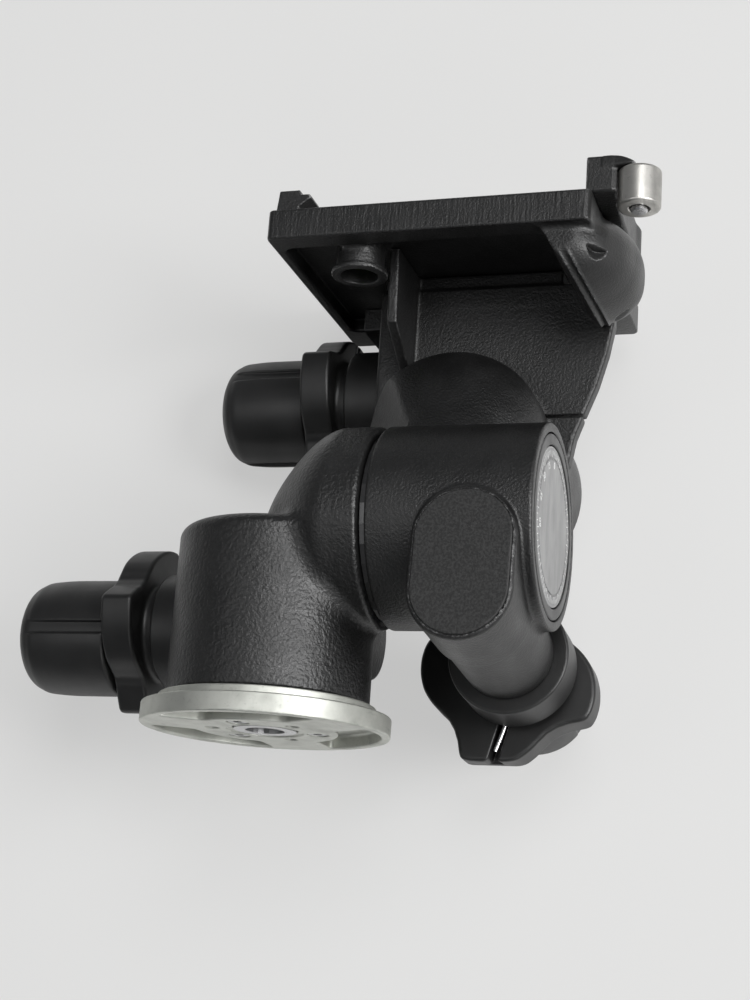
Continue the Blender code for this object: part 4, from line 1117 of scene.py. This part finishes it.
def markTree():
    # Small bars around a circle: count, radius, width, length and height are its inputs
    tree = bpy.data.node_groups.new("dialMarks", "GeometryNodeTree")
    tree.is_modifier = True
    tree.interface.new_socket("Geometry", in_out="OUTPUT", socket_type="NodeSocketGeometry")
    kinds = {"Count": "NodeSocketInt", "Radius": "NodeSocketFloat", "Size": "NodeSocketVector",
             "Finish": "NodeSocketMaterial"}
    tree.interface.new_socket("Geometry", in_out="INPUT", socket_type="NodeSocketGeometry")
    for name, kind in kinds.items():
        tree.interface.new_socket(name, in_out="INPUT", socket_type=kind)
    make = Nodes(tree)
    given = make.node("NodeGroupInput").outputs
    circle = make.wired("GeometryNodeMeshCircle", {"Vertices": given["Count"], "Radius": given["Radius"]})
    bar = make.wired("GeometryNodeMeshCube", {"Size": given["Size"]})
    place = make.wired("GeometryNodeInputPosition")
    turn = make.wired("FunctionNodeAlignRotationToVector", {"Vector": place}, axis="X", pivot_axis="Z")
    spread = make.wired("GeometryNodeInstanceOnPoints", {"Points": circle, "Instance": bar, "Rotation": turn})
    real = make.wired("GeometryNodeRealizeInstances", {0: spread})
    coat = make.wired("GeometryNodeSetMaterial", {"Geometry": real, "Material": given["Finish"]})
    make.fill(make.node("NodeGroupOutput"), {0: coat})
    return tree


dialMarks = {
    "rows": ((72, 17.6, (0.9, 0.16, 0.05)), (24, 17.2, (1.7, 0.22, 0.05))),
    "numbers": ("0", "15", "30", "45", "60"),
    "numberCircle": 14.6,
    "numberSize": 2.3,
    "numberStart": 95.0,
    "numberStep": 24.0,
}


def makeMarks(axis, matrix, height, body, size):
    tree = markTree()
    pieces = []
    for k, (count, radius, bar) in enumerate(size["rows"]):
        holder = newObject(f"{axis}Row{k}", bpy.data.meshes.new("row"))
        modifier = holder.modifiers.new("marks", "NODES")
        modifier.node_group = tree
        values = {"Count": count, "Radius": radius * mm, "Size": Vector(bar) * mm,
                  "Finish": finishes["dialInk"]}
        for item in tree.interface.items_tree:
            if item.in_out == "INPUT" and item.name in values:
                modifier[item.identifier] = values[item.name]
        pieces.append((holder, Matrix.Identity(4)))
    for k, word in enumerate(size["numbers"]):
        letters = bpy.data.curves.new("number", "FONT")
        letters.body = word
        letters.size = size["numberSize"] * mm
        letters.extrude = 0.02 * mm
        letters.align_x, letters.align_y = "CENTER", "CENTER"
        letters.materials.append(finishes["dialInk"])
        holder = newObject(f"{axis}Number{k}", letters)
        angle = math.radians(size["numberStart"] + k * size["numberStep"])
        spot = (size["numberCircle"] * math.cos(angle) * mm, size["numberCircle"] * math.sin(angle) * mm, 0)
        pieces.append((holder, Matrix.Translation(spot) @ Matrix.Rotation(angle - math.pi / 2, 4, "Z")))
    graph = bpy.context.evaluated_depsgraph_get()
    for holder, within in pieces:
        mesh = bpy.data.meshes.new_from_object(holder.evaluated_get(graph))
        lift = Matrix.Translation((0, 0, height * mm))
        frameHere = Matrix.Translation(matrix.translation * mm) @ matrix.to_3x3().to_4x4()
        mesh.transform(frameHere @ lift @ within)
        made = newObject(holder.name + "Marks", mesh)
        bpy.data.objects.remove(holder)
        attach(made, body)


makeEndCap("tilt", alongX, places["tiltFace"], "tilt_housing_group", endCap)
tiltEnd = places["tiltFace"] + places["gap"] + places["drumLength"]
makeMarks("tilt", alongX, tiltEnd - endCap["recess"], "tilt_housing_group", dialMarks)
makeEndCap("side", alongY, places["sideFace"], "side_arm_group", endCap)

print("stage: clamp lever")
clampLever = {
    "hub": 6.0,
    "low": 133.7,
    "high": 144.2,
    "outline": [(68.8, 40.0), (69.6, 20.0), (72.4, 4.0), (73.0, -3.4), (79.4, -3.4), (81.5, -2.0),
                (81.5, 2.4), (79.8, 4.6), (79.4, 20.0), (79.2, 40.0), (76.8, 44.0), (70.8, 44.0)],
    "finger": [(77.0, -3.4), (85.7, -4.6), (88.6, -2.4), (88.6, 2.4), (85.7, 4.6), (77.0, 3.4)],
    "hood": (78.0, 132.6, 10.9),
    "barrel": (85.7, 0.0),
    "barrelRadius": 5.35,
    "barrelLow": 130.0,
    "barrelHigh": 140.0,
    "barrelStep": 0.3,
    "button": 2.45,
    "spring": 2.3,
    "springWire": 0.3,
    "springRoom": 3.75,
    "press": 2.1,
    "step": 0.4,
}


def hoodShape(x, z, radius):
    # The top is flat up to x and then falls as an arc around that centre
    def field(p):
        across, up = np.maximum(p[:, 0] - x, 0), p[:, 2] - z
        return np.where(up > 0, np.hypot(across, up), across) - radius

    return field


def makeLever(size):
    barrel = Matrix.Translation((*size["barrel"], 0))
    field = casting(
        drum("add", size["hub"], size["low"], size["high"], 0.7, 0, leverPivot),
        ("add", slabShape(size["outline"], size["low"] + 0.1, size["high"] - 0.1, 0.9), 1.5),
        drum("cut", places["leverPin"], 120, 160, 0.2, 0.3, leverPivot),
        drum("cut", size["barrelRadius"] + 0.3, 120, size["barrelHigh"] + 0.3, 0.2, 0.3, barrel),
        ("add", slabShape(size["finger"], size["barrelHigh"] + 0.3, size["high"] - 0.6, 0.6), 0.8),
        ("keep", hoodShape(*size["hood"]), 0.8),
    )
    cast("clampLever", "clamp_lever_group", "paintPlate", field, size["step"],
         "clamp_lever")
    hollow = casting(
        drum("add", size["barrelRadius"], size["barrelLow"], size["barrelHigh"], 0.7, 0),
        drum("cut", size["button"], 120, 150, 0.1, 0.4),
        drum("cut", size["springRoom"], size["barrelLow"] + 2.2, 150, 0.2, 0.2),
    )
    springLow, springHigh = size["barrelLow"] + 4.3, size["barrelHigh"] - 0.6
    points = coil(size["spring"], springLow, springHigh, 4)
    spring = wire("lockSpring", "clamp_lever_group", "steel", points, size["springWire"],
                  barrel, "lock_spring")
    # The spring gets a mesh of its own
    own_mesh(spring)
    cast("leverBarrel", "clamp_lever_group", "barrel", hollow, size["barrelStep"],
         "lever_barrel",
         roundRoom(size["barrelRadius"], size["barrelLow"], size["barrelHigh"]), barrel)


makeLever(clampLever)

print("stage: jaws")
jaws = {
    "fixed": [(-7.5, 133.6), (-1.3, 133.6), (-1.3, 134.9), (1.9, 137.3), (1.3, 138.3),
              (-1.0, 138.3), (-1.5, 139.6), (-6.9, 139.6)],
    "fixedRun": (-4.5, 64.0),
    "slot": ((-10.0, 3.0, 135.9), (5.0, 8.0, 141.0)),
    "moving": [(64.5, 133.6), (67.3, 133.6), (67.3, 137.5), (61.3, 137.5), (61.3, 136.5), (64.5, 135.1)],
    "movingRun": (14.0, 56.0),
    "step": 0.3,
}


def makeJaws(size):
    start, end = size["fixedRun"]
    fixed = casting(
        ("add", placed(upright, slabShape(size["fixed"], -end, -start, 0.45)), 0),
        ("cut", blockShape(*size["slot"], 0.3), 0.4),
    )
    cast("fixedJaw", "side_arm_group", "paintJaw", fixed, size["step"],
         "fixed_jaw")
    start, end = size["movingRun"]
    moving = placed(upright, slabShape(size["moving"], -end, -start, 0.3))
    cast("movingJaw", "side_arm_group", "paintJaw", moving, size["step"],
         "moving_jaw")


makeJaws(jaws)

print("stage: floor, lamps and camera")
studio = {
    "floorColour": (0.80, 0.80, 0.795),
    "floorPoint": (36.0, 80.0, 70.0),
    "floorNormal": (0.12, -1.0, 0.0),
    "floorSize": 6.0,
    "worldColour": (0.95, 0.97, 1.0),
    "worldStrength": 0.05,
    "worldSeen": 0.74,
    "worldGloss": 0.12,
    "paper": (0.71, 0.71, 0.705),
    "paperShare": 0.72,
    "paperGloss": 0.15,
}


def makeFloor(size):
    normal = Vector(size["floorNormal"]).normalized()
    side = normal.orthogonal().normalized()
    up = normal.cross(side)
    centre = Vector(size["floorPoint"]) * mm
    half = size["floorSize"] / 2
    mesh = bpy.data.meshes.new("floor")
    corners = [centre + side * (i * half) + up * (j * half) for i, j in ((-1, -1), (1, -1), (1, 1), (-1, 1))]
    mesh.from_pydata([tuple(c) for c in corners], [], [(0, 1, 2, 3)])
    mesh.update()
    if mesh.polygons[0].normal.dot(normal) < 0:
        mesh.flip_normals()
    floor = newObject("floor", mesh)
    made = bpy.data.materials.new("floorPale")
    made.use_nodes = True
    tree = Nodes(made.node_tree)
    tree.nodes.clear()
    matte = tree.wired("ShaderNodeBsdfDiffuse", {"Color": (*size["floorColour"], 1)})
    clear = tree.wired("ShaderNodeBsdfTransparent")
    # To the camera the floor is an even pale tone, with part of its shadow kept
    even = tree.wired("ShaderNodeEmission", {"Color": (*size["paper"], 1)})
    rays = tree.node("ShaderNodeLightPath").outputs
    seen = tree.math("MULTIPLY", rays["Is Camera Ray"], size["paperShare"])
    mirrored = tree.math("MULTIPLY", rays["Is Glossy Ray"], size["paperGloss"])
    paper = tree.shared(tree.math("MAXIMUM", seen, mirrored), matte, even)
    # Its back can't be seen, so that the object shows from behind as well
    back = tree.wired("ShaderNodeNewGeometry", output="Backfacing")
    hidden = tree.math("MAXIMUM", rays["Is Shadow Ray"], back)
    tree.fill(tree.node("ShaderNodeOutputMaterial"), {0: tree.shared(hidden, paper, clear)})
    mesh.materials.append(made)


def areaLamp(name, place, target, size, power):
    light = bpy.data.lights.new(name, "AREA")
    light.shape = "DISK"
    light.size = size
    light.energy = power
    lamp = newObject(name, light)
    lamp.location = place
    lamp.rotation_euler = (Vector(target) - Vector(place)).to_track_quat("-Z", "Y").to_euler()


makeFloor(studio)

camera = {
    "turn": 0.314,
    "rise": 0.274,
    "roll": 0.071,
    "distance": 426.4,
    "target": (23.42, 0, 57.13),
    "lens": 1753.0 * 0.036,
}


def makeCamera(size):
    a, e, roll = size["turn"], size["rise"], size["roll"]
    back = Vector((math.sin(a) * math.cos(e), -math.cos(a) * math.cos(e), -math.sin(e)))
    right = Vector((math.cos(a), math.sin(a), 0))
    up = back.cross(right)
    rightTurned = right * math.cos(roll) + up * math.sin(roll)
    upTurned = up * math.cos(roll) - right * math.sin(roll)
    data = bpy.data.cameras.new("camera")
    data.sensor_fit = "AUTO"
    data.sensor_width = 36.0
    data.lens = size["lens"]
    data.clip_start = 0.01
    made = newObject("camera", data)
    turned = Matrix((rightTurned, upTurned, back)).transposed().to_4x4()
    place = (Vector(size["target"]) + back * size["distance"]) * mm
    made.matrix_world = Matrix.Translation(place) @ turned
    bpy.context.scene.camera = made
    return rightTurned, upTurned, back, Vector(size["target"]) * mm


right, up, back, middle = makeCamera(camera)
# Lamps are placed by right, up and towards the viewer
lamps = {
    "key": ((0.95, 0.24, 1.26), 0.8, 23.0),
    "upper": ((0.12, 0.85, 1.35), 0.8, 10.0),
    "frontLeft": ((-1.0, 0.28, 1.2), 0.8, 2.5),
    "low": ((0.24, -0.8, 1.36), 0.8, 3.0),
}
for name, ((x, y, z), size, power) in lamps.items():
    place = middle + right * x + up * y + back * z
    areaLamp(name, place, middle, size, power)
areaLamp("rear", middle + Vector((0.2, 1.1, 0.45)), middle, 1.2, 9.0)

sky = bpy.data.worlds.new("sky")
bpy.context.scene.world = sky
sky.use_nodes = True
background = sky.node_tree.nodes["Background"]
background.inputs["Color"].default_value = (*studio["worldColour"], 1)
# Pale to the camera and in reflections, and a weak light otherwise
tree = Nodes(sky.node_tree)
rays = tree.node("ShaderNodeLightPath").outputs
seen = tree.math("MULTIPLY", rays["Is Camera Ray"], studio["worldSeen"])
mirrored = tree.math("MULTIPLY", rays["Is Glossy Ray"], studio["worldGloss"])
strength = tree.math("ADD", tree.math("ADD", seen, studio["worldStrength"]), mirrored)
tree.link(strength, background.inputs["Strength"])
bpy.context.scene.view_settings.view_transform = "Standard"

print("stage: done")
